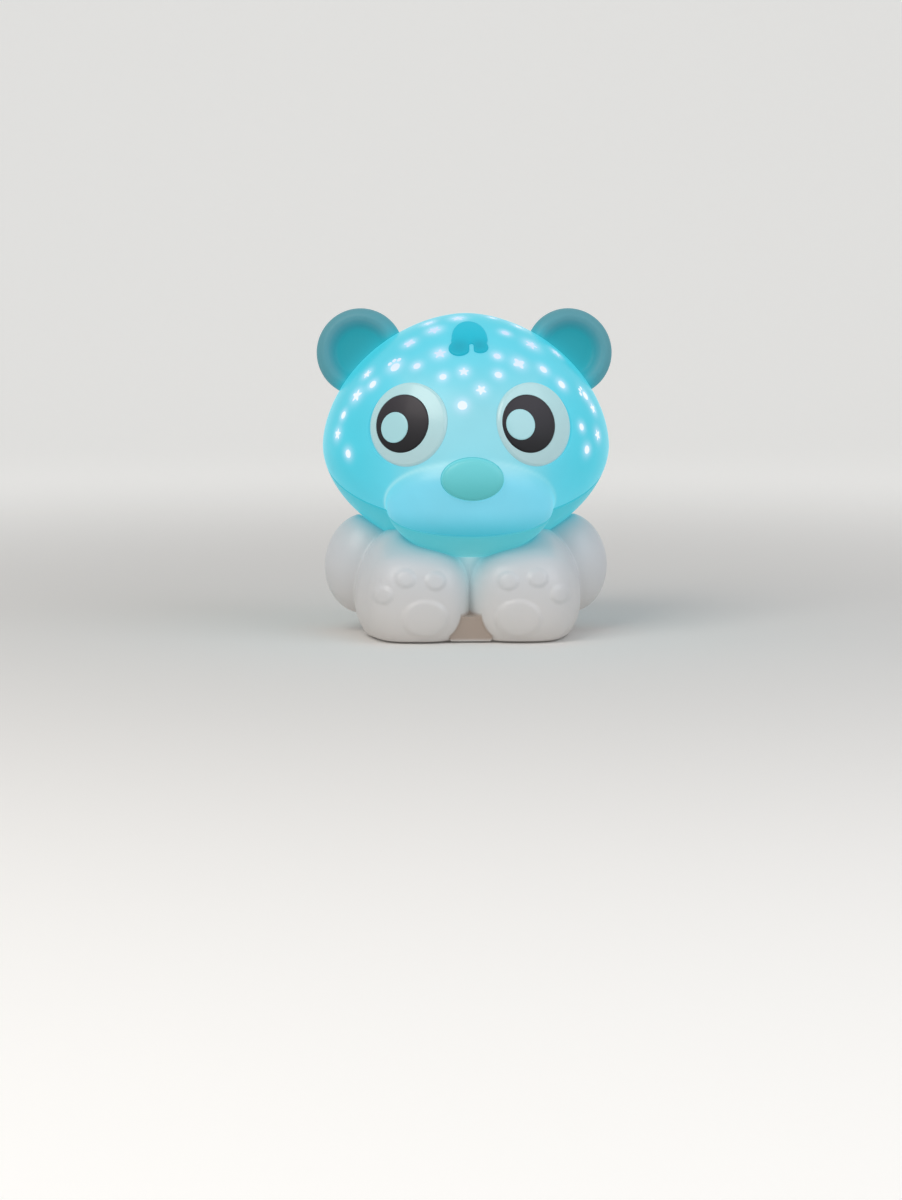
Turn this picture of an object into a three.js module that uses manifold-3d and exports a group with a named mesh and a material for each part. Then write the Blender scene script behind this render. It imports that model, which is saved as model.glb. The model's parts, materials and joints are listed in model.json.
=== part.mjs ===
// Bear night light and star projector: a glowing head with star windows on a seated body.
// Millimetres, +Z up. The face looks towards -Y and the floor is at Z = 0.
import * as THREE from "three";
import { mergeVertices } from "three/addons/utils/BufferGeometryUtils.js";
import Module from "manifold-3d";

const wasm = await Module();
wasm.setup();

// Driving dimensions
const WALL = 2.2; // moulded shells
const GAP = 0.3; // between pieces that touch
const RUN = 0.4; // around pieces that move
const OVERRUN = 5; // how far a cutter runs past what it cuts
const STAND = 0.8; // shells above the floor, on their rubber pads
const SMOOTHING = 0.08; // facets flatter than this are merged

const head = { halfWidth: 70.8, halfDepth: 62, rise: 65.3, drop: 54, centreZ: 92, power: 1.82 };
const muzzle = { halfWidth: 40.5, halfDepth: 22, halfHeight: 29.5, centreY: -41, centreZ: 67, lean: 36 };
const parting = { sideZ: 82, tilt: 27, lip: 1.4, lipHeight: 3 };
const lens = { wall: 1.5, bottomZ: 86, flush: 0.3, clear: 1.2 };
const windowSize = { dot: 2.1, star: 3.4, flower: 3.6, pad: 2.6, toe: 1.3, toeSpread: 3.9 };

const eye = { radius: 20.25, apart: 31.5, z: 105.7, turn: 27.5, rise: 12, dome: 62 };
const eyeRim = { thick: 2.6, proud: 1, bevel: 1.2 };
const iris = { radius: 14, thick: 0.9, proud: 0.25, left: -1.9, right: -4.4, below: 0, bevel: 0.3 };
const glint = { radius: 7.4, thick: 0.5, proud: 0.45, left: -5.2, right: -9.3, below: 1.3, bevel: 0.2 };

const ear = { radius: 21.8, thick: 13, apart: 52.8, y: 8, z: 138.6, turn: 8, rise: 8 };
const earDish = { radius: 13.5, depth: 4.5 };
const earPeg = { radius: 4, length: 11 };
const tuft = { lobe: 4.9, side: 4, apart: 5.4, height: 20.5, notch: -0.8, proud: 1.4, rise: 54, peg: 2 };
const tuftEdge = [[9, 0], [8.8, 4.5], [7.8, 9.3], [5.3, 16], [2.6, 19.4]]; // right side of the crown

const nose = { halfWidth: 14.75, halfHeight: 10, z: 79.7, frontY: -70, crown: 3.2, depth: 12, stem: 2.6 };
const noseFlange = { proud: 2, thick: 1.4 };
const nosePress = { travel: 1.5, collarDepth: 10.5, switchSide: 6, switchHeight: 3.5, springRadius: 5.4 };
const noseBoard = { halfWidth: 23, halfHeight: 4.5, post: 2.7, screwDepth: 3.2 };
const board = 1.6; // circuit board thickness

const torso = { halfWidth: 47, halfDepth: 42, halfHeight: 38, y: 8, z: 27, ringPower: 2.4, power: 3 };
const leg = { halfWidth: 28, halfDepth: 32, rise: 39, drop: 26, x: 27.4, y: -18, z: 17 };
const foot = { halfWidth: 25.2, halfHeight: 25, halfDepth: 26, x: 25.4, y: -34, z: 20.5, power: 2.8 };
const soleRingPower = 2.6; // of the foot seen from the front
const paw = { proud: 0.8, halfWidth: 11.3, halfHeight: 9.4, inward: 3.1, below: 8.1 };
const toe = { halfWidth: 5, halfHeight: 4.4 };
const arm = { halfWidth: 20, halfDepth: 18, halfHeight: 25, x: 50, y: -2, z: 34, lean: 7 };
const bridge = { halfWidth: 10, frontY: -52, height: 12 }; // closes the body between the feet
const splitY = -3; // where the front and back body shells meet

const neck = { radius: 16.5, bore: 12, seatZ: 46, bottomZ: 33.5 };
const post = { radius: 10, bore: 7, topZ: 85, flange: 3, hole: 2.5, spigot: 4 };
const lamp = { board: 14, side: 5, height: 1.5, lensRadius: 1.9 };
const screw = { shaft: 1.3, head: 3, headHeight: 2.1, boss: 3.7 };
const headScrew = { circle: 26, bottomZ: 31, topZ: 52 };
const caseScrew = { frontX: 17, frontY: -18.8, backX: 13, backY: 31.5, bossHeight: 11, rib: 1.8 };

const plate = { thick: 3.2 };
const cell = { radius: 5.25, length: 44.5, nub: 1.9, nubHeight: 0.9, pitch: 11.7, count: 3 };
const bay = { wall: 1.6, spring: 3.9, contact: 0.5, tab: 3, y: 7, rib: 1.2, ribHeight: 3 };
const door = { thick: 1.8, ledge: 2, arm: 3.6, swing: 0.9 };
const knuckle = { length: 8, apart: 11, pin: 0.7, pinLength: 2 };
const tongue = { length: 8, halfWidth: 5 }; // of the battery door, under its screw
const slider = { y: 34.3, width: 4, length: 5, shoe: 0.8, shoeHeight: 2, travel: 4, can: 1.2, canHeight: 5 };
const pad = { radius: 4, sink: 1.4, frontX: 25.4, frontY: -36, backX: 22.5, backY: 32 };
const mainBoard = { width: 44, depth: 34, peg: 1, seat: 2, seatHeight: 2, inset: 4 };
const coil = { wire: 0.35, turns: 2, steps: 8, sides: 5, wide: 3.6, narrow: 2.3 };
const noseCoilTurns = 4;
const lead = 1.1; // radius of a pair of wires in its sleeve

// Profile shares: an ear's [radius share, depth share] pairs from its back round the rim to its dish
const earBackShares = [[0.75, 0.95], [0.95, 0.72], [1, 0.45], [0.95, 0.16]];
const earDishShares = [[1, 0.4], [0.85, 1], [0, 1.15]];
const noseCrownShare = 0.6; // where the nose's flatter middle ends
const discShares = [0, 0.6]; // rings of an eye disc's face
const bladeShares = { wide: 0.8, high: 0.7 }; // a contact's blade beside its cell
const screwSlotShare = 0.55;
const plugShare = 0.7;
const solderShare = 0.8; // where the battery leads end on the main board

const FLOOR_TOP = STAND + plate.thick;
const FAR = head.halfWidth + head.rise + OVERRUN;
const rad = THREE.MathUtils.degToRad;
const sides = { left: -1, right: 1 }; // as the viewer sees them

const finish = {
  dome: { color: 0x7fd4e6, roughness: 0.3 },
  lens: { color: 0xe4f7fb, roughness: 0.1 },
  teal: { color: 0x5fc2c9, roughness: 0.35 },
  ear: { color: 0x4f9aa6, roughness: 0.4 },
  tuft: { color: 0x2fb0c7, roughness: 0.35 },
  nose: { color: 0x62c2c6, roughness: 0.4 },
  eye: { color: 0xb1d2d7, roughness: 0.25 },
  white: { color: 0xd2d4d8, roughness: 0.3 },
  dark: { color: 0x303238, roughness: 0.2 },
  rubber: { color: 0x9fa3a6, roughness: 0.8 },
  board: { color: 0x2f6b45, roughness: 0.5 },
  steel: { color: 0xb8bcc0, roughness: 0.35, metalness: 1 },
  cell: { color: 0x55585c, roughness: 0.4, metalness: 0.5 },
  wire: { color: 0xa83232, roughness: 0.5 },
};

// A closed geometry as a solid that can be joined and cut
function solid(geometry) {
  const bare = geometry.clone();
  bare.deleteAttribute("normal");
  bare.deleteAttribute("uv");
  const merged = mergeVertices(bare);
  return new wasm.Manifold(
    new wasm.Mesh({
      numProp: 3,
      vertProperties: merged.getAttribute("position").array,
      triVerts: new Uint32Array(merged.index.array),
    }),
  );
}

const joined = (solids) => solids.reduce((whole, next) => whole.add(next));
const put = (shape, matrix) => shape.transform(matrix.elements);

// A box between two limits on each axis
function block([x0, x1], [y0, y1], [z0, z1]) {
  const geometry = new THREE.BoxGeometry(x1 - x0, y1 - y0, z1 - z0);
  return solid(geometry.translate((x0 + x1) / 2, (y0 + y1) / 2, (z0 + z1) / 2));
}

// An upright cylinder between two heights
function rod(radius, z0, z1, steps = 16) {
  const geometry = new THREE.CylinderGeometry(radius, radius, z1 - z0, steps);
  return solid(geometry.rotateX(Math.PI / 2).translate(0, 0, (z0 + z1) / 2));
}

// A turned solid: [radius, height] pairs from the lower end of the axis, round the outside, to the upper end
function turned(profile, steps = 24) {
  const points = profile.map(([r, z]) => new THREE.Vector2(r, z));
  return solid(new THREE.LatheGeometry(points, steps).rotateX(Math.PI / 2));
}

// An outline in X and Y pushed up from z0 to z1
function pushed(shape, z0, z1) {
  const geometry = new THREE.ExtrudeGeometry(shape, { depth: z1 - z0, bevelEnabled: false });
  return solid(geometry.translate(0, 0, z0));
}

// A closed outline through points at equal turns, at a reach that depends on the turn
function ringShape(steps, reach) {
  const points = Array.from({ length: steps }, (_, i) => {
    const turn = (i * 2 * Math.PI) / steps;
    const [x, y] = reach(turn, i);
    return new THREE.Vector2(x, y);
  });
  return new THREE.Shape(points);
}

const bent = (share, exponent) => Math.sign(share) * Math.abs(share) ** exponent;

// An egg-like solid. A power of 2 is an ellipse and a higher one is boxier; ringPower rules it seen from above.
function rounded({ halfWidth, halfDepth, rise, drop, ringPower = 2, power = 2 }, steps, rings) {
  const geometry = new THREE.SphereGeometry(1, steps, rings).rotateX(Math.PI / 2);
  const place = geometry.getAttribute("position");
  for (let i = 0; i < place.count; i++) {
    const around = Math.hypot(place.getX(i), place.getY(i));
    const reach = around > Number.EPSILON ? around ** (2 / power) : 0;
    const u = reach && bent(place.getX(i) / around, 2 / ringPower) * reach;
    const v = reach && bent(place.getY(i) / around, 2 / ringPower) * reach;
    const w = bent(place.getZ(i), 2 / power);
    place.setXYZ(i, u * halfWidth, v * halfDepth, w * (w > 0 ? rise : drop));
  }
  return solid(geometry);
}

// The frame whose Z axis points out of the bear at an azimuth and an elevation, with X to the viewer's right
function aim([x, y, z], azimuth, elevation) {
  const turn = new THREE.Matrix4().makeRotationZ(rad(azimuth));
  turn.multiply(new THREE.Matrix4().makeRotationX(rad(90 - elevation)));
  return new THREE.Matrix4().makeTranslation(x, y, z).multiply(turn);
}

// A curve that three.js can sweep an outline along
function sweep(curve, radius, steps, outlineSides) {
  const shape = ringShape(outlineSides, (turn) => [radius * Math.cos(turn), radius * Math.sin(turn)]);
  return solid(new THREE.ExtrudeGeometry(shape, { steps, extrudePath: curve, bevelEnabled: false }));
}

// A coil spring round the Z axis from radius r0 at z0 to r1 at z1, with its wire's ends straight
class CoilCurve extends THREE.Curve {
  constructor(r0, r1, z0, z1, turns) {
    super();
    Object.assign(this, { r0, r1, z0, z1, turns });
  }

  woundShare(t) {
    const end = (2 * coil.wire) / (this.z1 - this.z0);
    return THREE.MathUtils.clamp((t - end) / (1 - 2 * end), 0, 1);
  }

  getPoint(t, target = new THREE.Vector3()) {
    const wound = this.woundShare(t);
    const turn = wound * this.turns * 2 * Math.PI;
    const radius = this.r0 + (this.r1 - this.r0) * wound;
    return target.set(radius * Math.cos(turn), radius * Math.sin(turn), this.z0 + (this.z1 - this.z0) * t);
  }
}

// Prints the least gap between one turn's wire and the next
function printLeastGap(name, curve) {
  const perTurn = 60;
  const count = curve.turns * perTurn;
  const shares = Array.from({ length: count + 1 }, (_, i) => i / count);
  const points = shares.map((t) => curve.getPoint(t));
  const turns = shares.map((t) => curve.woundShare(t) * curve.turns);
  let least = Infinity;
  points.forEach((a, i) => {
    const apart = points.slice(i).filter((_, j) => turns[i + j] - turns[i] > 1 / 2);
    for (const b of apart) least = Math.min(least, a.distanceTo(b));
  });
  console.log(name + " least gap to itself " + (least - 2 * coil.wire).toFixed(2) + " mm");
}

function coilSpring(name, r0, r1, z0, z1, turns) {
  const curve = new CoilCurve(r0, r1, z0, z1, turns);
  printLeastGap(name, curve);
  return sweep(curve, coil.wire, turns * coil.steps + 2, coil.sides);
}

// The head: an egg with the muzzle bulging out of it, grown or shrunk by an offset
function skull(offset) {
  const form = {
    halfWidth: head.halfWidth + offset,
    halfDepth: head.halfDepth + offset,
    rise: head.rise + offset,
    drop: head.drop + offset,
    power: head.power,
  };
  return rounded(form, 24, 12).translate([0, 0, head.centreZ]);
}

function headForm(offset) {
  const form = {
    halfWidth: muzzle.halfWidth + offset,
    halfDepth: muzzle.halfDepth + offset,
    rise: muzzle.halfHeight + offset,
    drop: muzzle.halfHeight + offset,
  };
  const bulge = rounded(form, 18, 10).rotate([muzzle.lean, 0, 0]);
  return skull(offset).add(bulge.translate([0, muzzle.centreY, muzzle.centreZ]));
}

// The Y of the head's face at a place seen from the front
function faceY(x, z) {
  const height = Math.abs(z - head.centreZ) / (z > head.centreZ ? head.rise : head.drop);
  const ring = (1 - height ** head.power) ** (1 / head.power);
  return -head.halfDepth * Math.sqrt(ring ** 2 - (x / head.halfWidth) ** 2);
}

// A slab along the tilted parting plane, between two heights along its normal
const partingSlab = (z0, z1) =>
  block([-FAR, FAR], [-FAR, FAR], [z0, z1]).rotate([parting.tilt, 0, 0]).translate([0, 0, parting.sideZ]);

// Outlines of the head's windows
const dotShape = (radius, steps = 6) =>
  ringShape(steps, (turn) => [radius * Math.cos(turn), radius * Math.sin(turn)]);

function starShape(radius) {
  const innerShare = 0.55;
  return ringShape(10, (turn, i) => {
    const reach = i % 2 ? radius * innerShare : radius;
    return [-reach * Math.sin(turn), reach * Math.cos(turn)];
  });
}

function flowerShape(radius) {
  const dipShare = 0.22;
  return ringShape(8, (turn) => {
    const reach = radius * (1 - dipShare + dipShare * Math.cos(4 * turn));
    return [reach * Math.cos(turn), reach * Math.sin(turn)];
  });
}

// Each window: kind, azimuth and elevation seen from the head's centre, size share and spin
const windowShares = [
  ["star", -66, 24, 1, 10],
  ["dot", -69, 7, 1.15, 0],
  ["dot", -60, -1, 1, 0],
  ["dot", -68, 15, 0.95, 0],
  ["dot", -57, 31, 1, 0],
  ["star", -69, 36, 0.8, 30],
  ["paw", -52, 44, 1, -28],
  ["flower", -50, 57, 0.85, 20],
  ["star", -35, 66, 0.95, 0],
  ["star", -11, 78, 1, 20],
  ["dot", -34, 42, 0.85, 0],
  ["star", -22, 49, 0.95, 12],
  ["dot", -17, 38, 0.9, 0],
  ["star", -4, 37, 0.75, 0],
  ["star", 7, 30, 0.75, 25],
  ["dot", -5, 22, 1.05, 0],
  ["dot", 19, 50, 0.85, 0],
  ["dot", 16, 38, 0.9, 0],
  ["dot", 37, 63, 1, 0],
  ["star", 54, 76, 0.9, 0],
  ["flower", 33, 47, 1, 15],
  ["star", 53, 56, 1, 8],
  ["dot", 74, 46, 1, 0],
  ["dot", 48, 40, 0.95, 0],
  ["dot", 56, 31, 1.1, 0],
  ["paw", 67, 25, 0.9, 24],
  ["dot", 73, 14, 0.9, 0],
  ["dot", 60, 9, 0.85, 0],
  ["star", 70, 3, 0.85, 0],
  ["dot", 60, -1, 1, 0],
  ["star", 150, 58, 1, 0],
  ["dot", 180, 45, 1.1, 0],
  ["star", -150, 58, 1, 30],
  ["dot", 128, 52, 1, 0],
  ["dot", -128, 52, 1, 0],
  ["flower", 180, 68, 0.9, 0],
];

// The prisms of all windows, each outline shrunk by an inset
function windowPrisms(inset) {
  const toeTurn = 40;
  const padDropShare = 0.4;
  const prisms = [];
  for (const [kind, azimuth, elevation, share, spin] of windowShares) {
    const frame = aim([0, 0, head.centreZ], azimuth, elevation);
    frame.multiply(new THREE.Matrix4().makeRotationZ(rad(spin)));
    const push = (shape, x, y) =>
      prisms.push(put(pushed(shape, head.halfDepth / 2, FAR).translate([x, y, 0]), frame));
    const size = (name) => windowSize[name] * share - inset;
    if (kind === "star") push(starShape(size("star")), 0, 0);
    if (kind === "flower") push(flowerShape(size("flower")), 0, 0);
    if (kind === "dot") push(dotShape(size("dot")), 0, 0);
    if (kind !== "paw") continue;
    push(dotShape(size("pad")), 0, -windowSize.pad * share * padDropShare);
    for (const side of [-1, 0, 1]) {
      const reach = windowSize.toeSpread * share;
      const turn = rad(toeTurn * side);
      push(dotShape(size("toe"), 5), reach * Math.sin(turn), reach * Math.cos(turn));
    }
  }
  return joined(prisms);
}

// Eyes: each disc's face lies on one large sphere, and a disc looks aside by turning about its middle
const eyeFrame = (side) => aim([side * eye.apart, faceY(eye.apart, eye.z), eye.z], side * eye.turn, eye.rise);

function gazeFrame(disc, name) {
  const frame = new THREE.Matrix4().makeTranslation(0, 0, -eye.dome);
  frame.multiply(new THREE.Matrix4().makeRotationX(Math.asin(disc.below / eye.dome)));
  frame.multiply(new THREE.Matrix4().makeRotationY(Math.asin(disc[name] / eye.dome)));
  return frame.multiply(new THREE.Matrix4().makeTranslation(0, 0, eye.dome));
}

// A round slice of the eye's sphere between two heights at its middle, with a bevelled edge
function domedDisc(radius, bottom, top, bevel) {
  const height = (r, offset) => Math.sqrt((eye.dome + offset) ** 2 - r ** 2) - eye.dome;
  const under = discShares.map((share) => [radius * share, height(radius * share, bottom)]);
  const edge = [
    [radius, height(radius, bottom)],
    [radius, height(radius, top) - bevel / 2],
  ];
  const over = discShares.map((share) => (radius - bevel) * share).map((r) => [r, height(r, top)]);
  return turned([...under, ...edge, [radius - bevel, height(radius - bevel, top)], ...over.reverse()], 22);
}

const eyeWhite = () => domedDisc(eye.radius, eyeRim.proud - eyeRim.thick, eyeRim.proud, eyeRim.bevel);
const irisTop = eyeRim.proud + iris.proud;
const irisBottom = irisTop - iris.thick;
const irisDisc = () => domedDisc(iris.radius, irisBottom, irisTop, iris.bevel);
const glintTop = eyeRim.proud + glint.proud;
const glintBottom = glintTop - glint.thick;
const glintDisc = () => domedDisc(glint.radius, glintBottom, glintTop, glint.bevel);

const eyeSeat = (extra) => domedDisc(eye.radius + extra, eyeRim.proud - eyeRim.thick - extra, OVERRUN, 0);

// Nose: an oval button in an oval collar
const noseFrame = new THREE.Matrix4().makeTranslation(0, nose.frontY, nose.z).multiply(aim([0, 0, 0], 0, 0));
const oval = (shape) => shape.scale([1, nose.halfHeight / nose.halfWidth, 1]);
const collarBackZ = -nosePress.collarDepth;
const flangeZ = collarBackZ - GAP;
const flangeBackZ = flangeZ - noseFlange.thick;
const switchTopZ = -(nose.depth + noseFlange.thick + nosePress.travel + GAP);
const noseBoardZ = switchTopZ - nosePress.switchHeight - GAP;

function noseButton() {
  const edge = nose.crown / 2;
  const cap = oval(
    turned(
      [
        [0, flangeBackZ],
        [nose.halfWidth + noseFlange.proud, flangeBackZ],
        [nose.halfWidth + noseFlange.proud, flangeZ],
        [nose.halfWidth, flangeZ],
        [nose.halfWidth, -nose.crown],
        [nose.halfWidth - edge / 2, -edge],
        [nose.halfWidth * noseCrownShare, -edge / 4],
        [0, 0],
      ],
      20,
    ),
  );
  return cap.add(rod(nose.stem, switchTopZ + nosePress.travel + GAP, flangeBackZ + GAP, 12));
}

const noseCollar = () => oval(rod(nose.halfWidth + RUN + WALL, collarBackZ, 0, 20));
const noseBore = () => {
  const behind = oval(rod(nose.halfWidth + noseFlange.proud + RUN, -FAR / 2, collarBackZ, 20));
  return oval(rod(nose.halfWidth + RUN, -FAR / 2, OVERRUN, 20)).add(behind);
};

const noseBoardX = noseBoard.halfWidth - noseBoard.post;

function noseBoardPosts(radius, z0) {
  return joined([-1, 1].map((side) => rod(radius, z0, 0, 12).translate([side * noseBoardX, 0, 0])));
}

function noseSwitch() {
  const half = nosePress.switchSide / 2;
  const bottom = noseBoardZ + GAP;
  const plunger = rod(half / 2, bottom, switchTopZ, 10);
  return block([-half, half], [-half, half], [bottom, switchTopZ - board]).add(plunger);
}

function noseBoardSolid() {
  const across = [-noseBoard.halfWidth, noseBoard.halfWidth];
  const up = [-noseBoard.halfHeight, noseBoard.halfHeight];
  return block(across, up, [noseBoardZ - board, noseBoardZ]).subtract(noseBoardPosts(screw.shaft + GAP, -FAR));
}

// Ears: a thick round disc with a dished face and a peg into the head
const earFrame = (side) => aim([side * ear.apart, ear.y, ear.z], side * ear.turn, ear.rise);

function earPegAt(side, radius) {
  const from = new THREE.Vector3(side * ear.apart, ear.y + ear.thick / 2, ear.z);
  const towards = new THREE.Vector3(0, 0, head.centreZ).sub(from).normalize();
  const turn = new THREE.Quaternion().setFromUnitVectors(new THREE.Vector3(0, 0, 1), towards);
  const frame = new THREE.Matrix4().makeRotationFromQuaternion(turn);
  const length = ear.radius + earPeg.length - (earPeg.radius - radius);
  return put(rod(radius, 0, length, 12), frame.setPosition(from));
}

function earSolid(side) {
  const crest = (ear.radius + earDish.radius) / 2;
  const back = earBackShares.map(([out, deep]) => [ear.radius * out, -ear.thick * deep]);
  const dish = earDishShares.map(([out, deep]) => [earDish.radius * out, -earDish.depth * deep]);
  const disc = turned([[0, -ear.thick], ...back, [crest, 0], ...dish], 22);
  return put(disc, earFrame(side)).subtract(skull(GAP)).add(earPegAt(side, earPeg.radius));
}

// Hair tuft: two lobes under a crown that narrows to a rounded tip, raised on the head
function tuftPrism() {
  const right = tuftEdge.map(([x, y]) => new THREE.Vector2(x, y));
  const left = right.map(({ x, y }) => new THREE.Vector2(-x, y)).reverse();
  const tip = new THREE.Vector2(0, tuft.height);
  const crown = new THREE.Shape([new THREE.Vector2(0, tuft.notch), ...right, tip, ...left]);
  const shapes = [dotShape(tuft.lobe, 12), dotShape(tuft.side, 12), crown];
  const aside = [-tuft.apart, tuft.apart, 0];
  const prisms = shapes.map((shape, i) => pushed(shape, head.halfDepth / 2, FAR).translate([aside[i], 0, 0]));
  return put(joined(prisms), aim([0, 0, head.centreZ], 0, tuft.rise));
}

const tuftPeg = (radius) =>
  put(rod(radius, head.halfDepth / 2, head.halfDepth + OVERRUN, 10), aim([0, 0, head.centreZ], 0, tuft.rise));

function hairTuft() {
  const raised = skull(tuft.proud).subtract(skull(GAP));
  const peg = tuftPeg(tuft.peg).intersect(skull(tuft.proud / 2)).subtract(skull(-WALL));
  return tuftPrism().intersect(raised).add(peg);
}

// Head dome: the front and top shell, with eye seats, nose collar, ear and tuft sockets and windows
function headDome() {
  let hollow = headForm(-WALL);
  let shell = headForm(0);
  for (const side of [-1, 1]) {
    hollow = hollow.subtract(put(eyeSeat(GAP + WALL), eyeFrame(side)));
    shell = shell.subtract(put(eyeSeat(GAP), eyeFrame(side))).subtract(earPegAt(side, earPeg.radius + GAP));
  }
  const posts = noseBoardPosts(noseBoard.post, noseBoardZ + GAP);
  const screwTop = noseBoardZ + noseBoard.screwDepth + GAP;
  const screwHoles = noseBoardPosts(screw.shaft + GAP, noseBoardZ - OVERRUN).intersect(
    block([-FAR, FAR], [-FAR, FAR], [-FAR, screwTop]),
  );
  hollow = hollow.subtract(put(noseCollar().add(posts), noseFrame)).add(put(screwHoles, noseFrame));
  shell = shell.subtract(put(noseBore(), noseFrame)).subtract(tuftPeg(tuft.peg + GAP));
  shell = shell.subtract(windowPrisms(0));
  return shell.subtract(hollow).intersect(partingSlab(GAP / 2, 2 * FAR));
}

// Star lens: a clear inner dome whose raised pads fill the windows of the outer one
function starLens() {
  const outside = skull(-(WALL + GAP));
  let dome = outside.subtract(skull(-(WALL + GAP + lens.wall)));
  const pads = windowPrisms(GAP).intersect(skull(-lens.flush));
  dome = dome.add(pads.subtract(skull(-(WALL + GAP + lens.wall / 2))));
  const depth = eyeRim.thick + 2 * (GAP + WALL) + OVERRUN;
  for (const side of [-1, 1]) {
    dome = dome.subtract(put(rod(eye.radius + WALL + lens.clear, -depth, 2 * OVERRUN, 22), eyeFrame(side)));
    dome = dome.subtract(earPegAt(side, earPeg.radius + 2 * GAP));
  }
  const besideNose = noseBoard.halfWidth + OVERRUN;
  const overNose = muzzle.centreZ + muzzle.halfHeight + WALL;
  dome = dome.subtract(block([-besideNose, besideNose], [-FAR, muzzle.centreY], [0, overNose]));
  dome = dome.subtract(tuftPeg(tuft.peg + 2 * GAP));
  dome = dome.intersect(block([-FAR, FAR], [-FAR, FAR], [lens.bottomZ, 2 * FAR]));
  return dome.intersect(partingSlab(parting.lipHeight + 2 * GAP, 2 * FAR));
}

// The places of the head screws round the neck
const headScrewPlaces = [90, 215, 325].map((turn) => [
  headScrew.circle * Math.cos(rad(turn)),
  headScrew.circle * Math.sin(rad(turn)),
]);
const leadHoleY = -(neck.radius + 2 * lead + WALL);
const leadHole = () => rod(lead + 3 * GAP, 0, head.centreZ, 10).translate([0, leadHoleY, 0]);

// Head back: the lower and rear shell, with the lip that enters the dome, the neck and the screw bosses
function headBack() {
  const below = partingSlab(-2 * FAR, -GAP / 2);
  const inside = headForm(-WALL);
  let shell = headForm(0).subtract(inside).intersect(below);
  const lipInside = headForm(-(WALL + GAP + parting.lip));
  const lipSlab = partingSlab(-parting.lipHeight, parting.lipHeight);
  const lip = headForm(-(WALL + GAP)).subtract(lipInside).intersect(lipSlab);
  const root = headForm(-WALL / 2).subtract(lipInside);
  const rootBottom = -(parting.lipHeight + WALL);
  shell = shell.add(lip).add(root.intersect(partingSlab(rootBottom, -GAP / 2)));
  const collar = rod(neck.radius, neck.bottomZ, neck.seatZ, 18);
  const bosses = headScrewPlaces.map(([x, y]) => rod(screw.boss, 0, headScrew.topZ, 12).translate([x, y, 0]));
  shell = shell.add(collar).add(joined(bosses).intersect(headForm(-WALL / 2)));
  shell = shell.subtract(rod(neck.bore, 0, head.centreZ, 18)).subtract(leadHole());
  const pilot = screw.shaft + GAP;
  const pilots = headScrewPlaces.map(([x, y]) => rod(pilot, 0, headScrew.topZ - WALL, 10).translate([x, y, 0]));
  return shell.subtract(joined(pilots));
}

// Lamp: the post, its round board and the light
function ledPost() {
  const flangeTop = neck.seatZ + GAP + post.flange;
  return turned(
    [
      [post.bore, neck.seatZ - post.spigot],
      [neck.bore - GAP, neck.seatZ - post.spigot],
      [neck.bore - GAP, neck.seatZ + GAP],
      [neck.radius, neck.seatZ + GAP],
      [neck.radius, flangeTop - post.flange / 2],
      [post.radius, flangeTop],
      [post.radius, post.topZ - post.flange],
      [lamp.board, post.topZ - post.flange / 2],
      [lamp.board, post.topZ],
      [post.hole, post.topZ],
      [post.hole, post.topZ - post.flange],
      [post.bore, post.topZ - post.flange],
      [post.bore, neck.seatZ - post.spigot],
    ],
    18,
  );
}

const ledBoardZ = post.topZ + GAP;
const ledZ = ledBoardZ + board + GAP;

function rgbLed() {
  const half = lamp.side / 2;
  const base = block([-half, half], [-half, half], [ledZ, ledZ + lamp.height]);
  const form = {
    halfWidth: lamp.lensRadius,
    halfDepth: lamp.lensRadius,
    rise: lamp.lensRadius,
    drop: lamp.height / 2,
  };
  return base.add(rounded(form, 10, 6).translate([0, 0, ledZ + lamp.height]));
}

// Body form: torso, two legs with their soles, and two arms, grown or shrunk by an offset
function torsoForm(offset) {
  const form = {
    halfWidth: torso.halfWidth + offset,
    halfDepth: torso.halfDepth + offset,
    rise: torso.halfHeight + offset,
    drop: torso.halfHeight + offset,
    ringPower: torso.ringPower,
    power: torso.power,
  };
  return rounded(form, 18, 10).translate([0, torso.y, torso.z]);
}

function footForm(offset) {
  const form = {
    halfWidth: foot.halfWidth + offset,
    halfDepth: foot.halfHeight + offset,
    rise: foot.halfDepth + offset,
    drop: foot.halfDepth + offset,
    ringPower: soleRingPower,
    power: foot.power,
  };
  return rounded(form, 16, 8).rotate([90, 0, 0]);
}

function limbForm(offset, side) {
  const legForm = {
    halfWidth: leg.halfWidth + offset,
    halfDepth: leg.halfDepth + offset,
    rise: leg.rise + offset,
    drop: leg.drop + offset,
  };
  const armForm = {
    halfWidth: arm.halfWidth + offset,
    halfDepth: arm.halfDepth + offset,
    rise: arm.halfHeight + offset,
    drop: arm.halfHeight + offset,
  };
  return rounded(legForm, 16, 8)
    .translate([side * leg.x, leg.y, leg.z])
    .add(footForm(offset).translate([side * foot.x, foot.y, foot.z]))
    .add(rounded(armForm, 14, 8).rotate([0, -side * arm.lean, 0]).translate([side * arm.x, arm.y, arm.z]));
}

const limbForms = (offset) => limbForm(offset, -1).add(limbForm(offset, 1));

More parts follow.
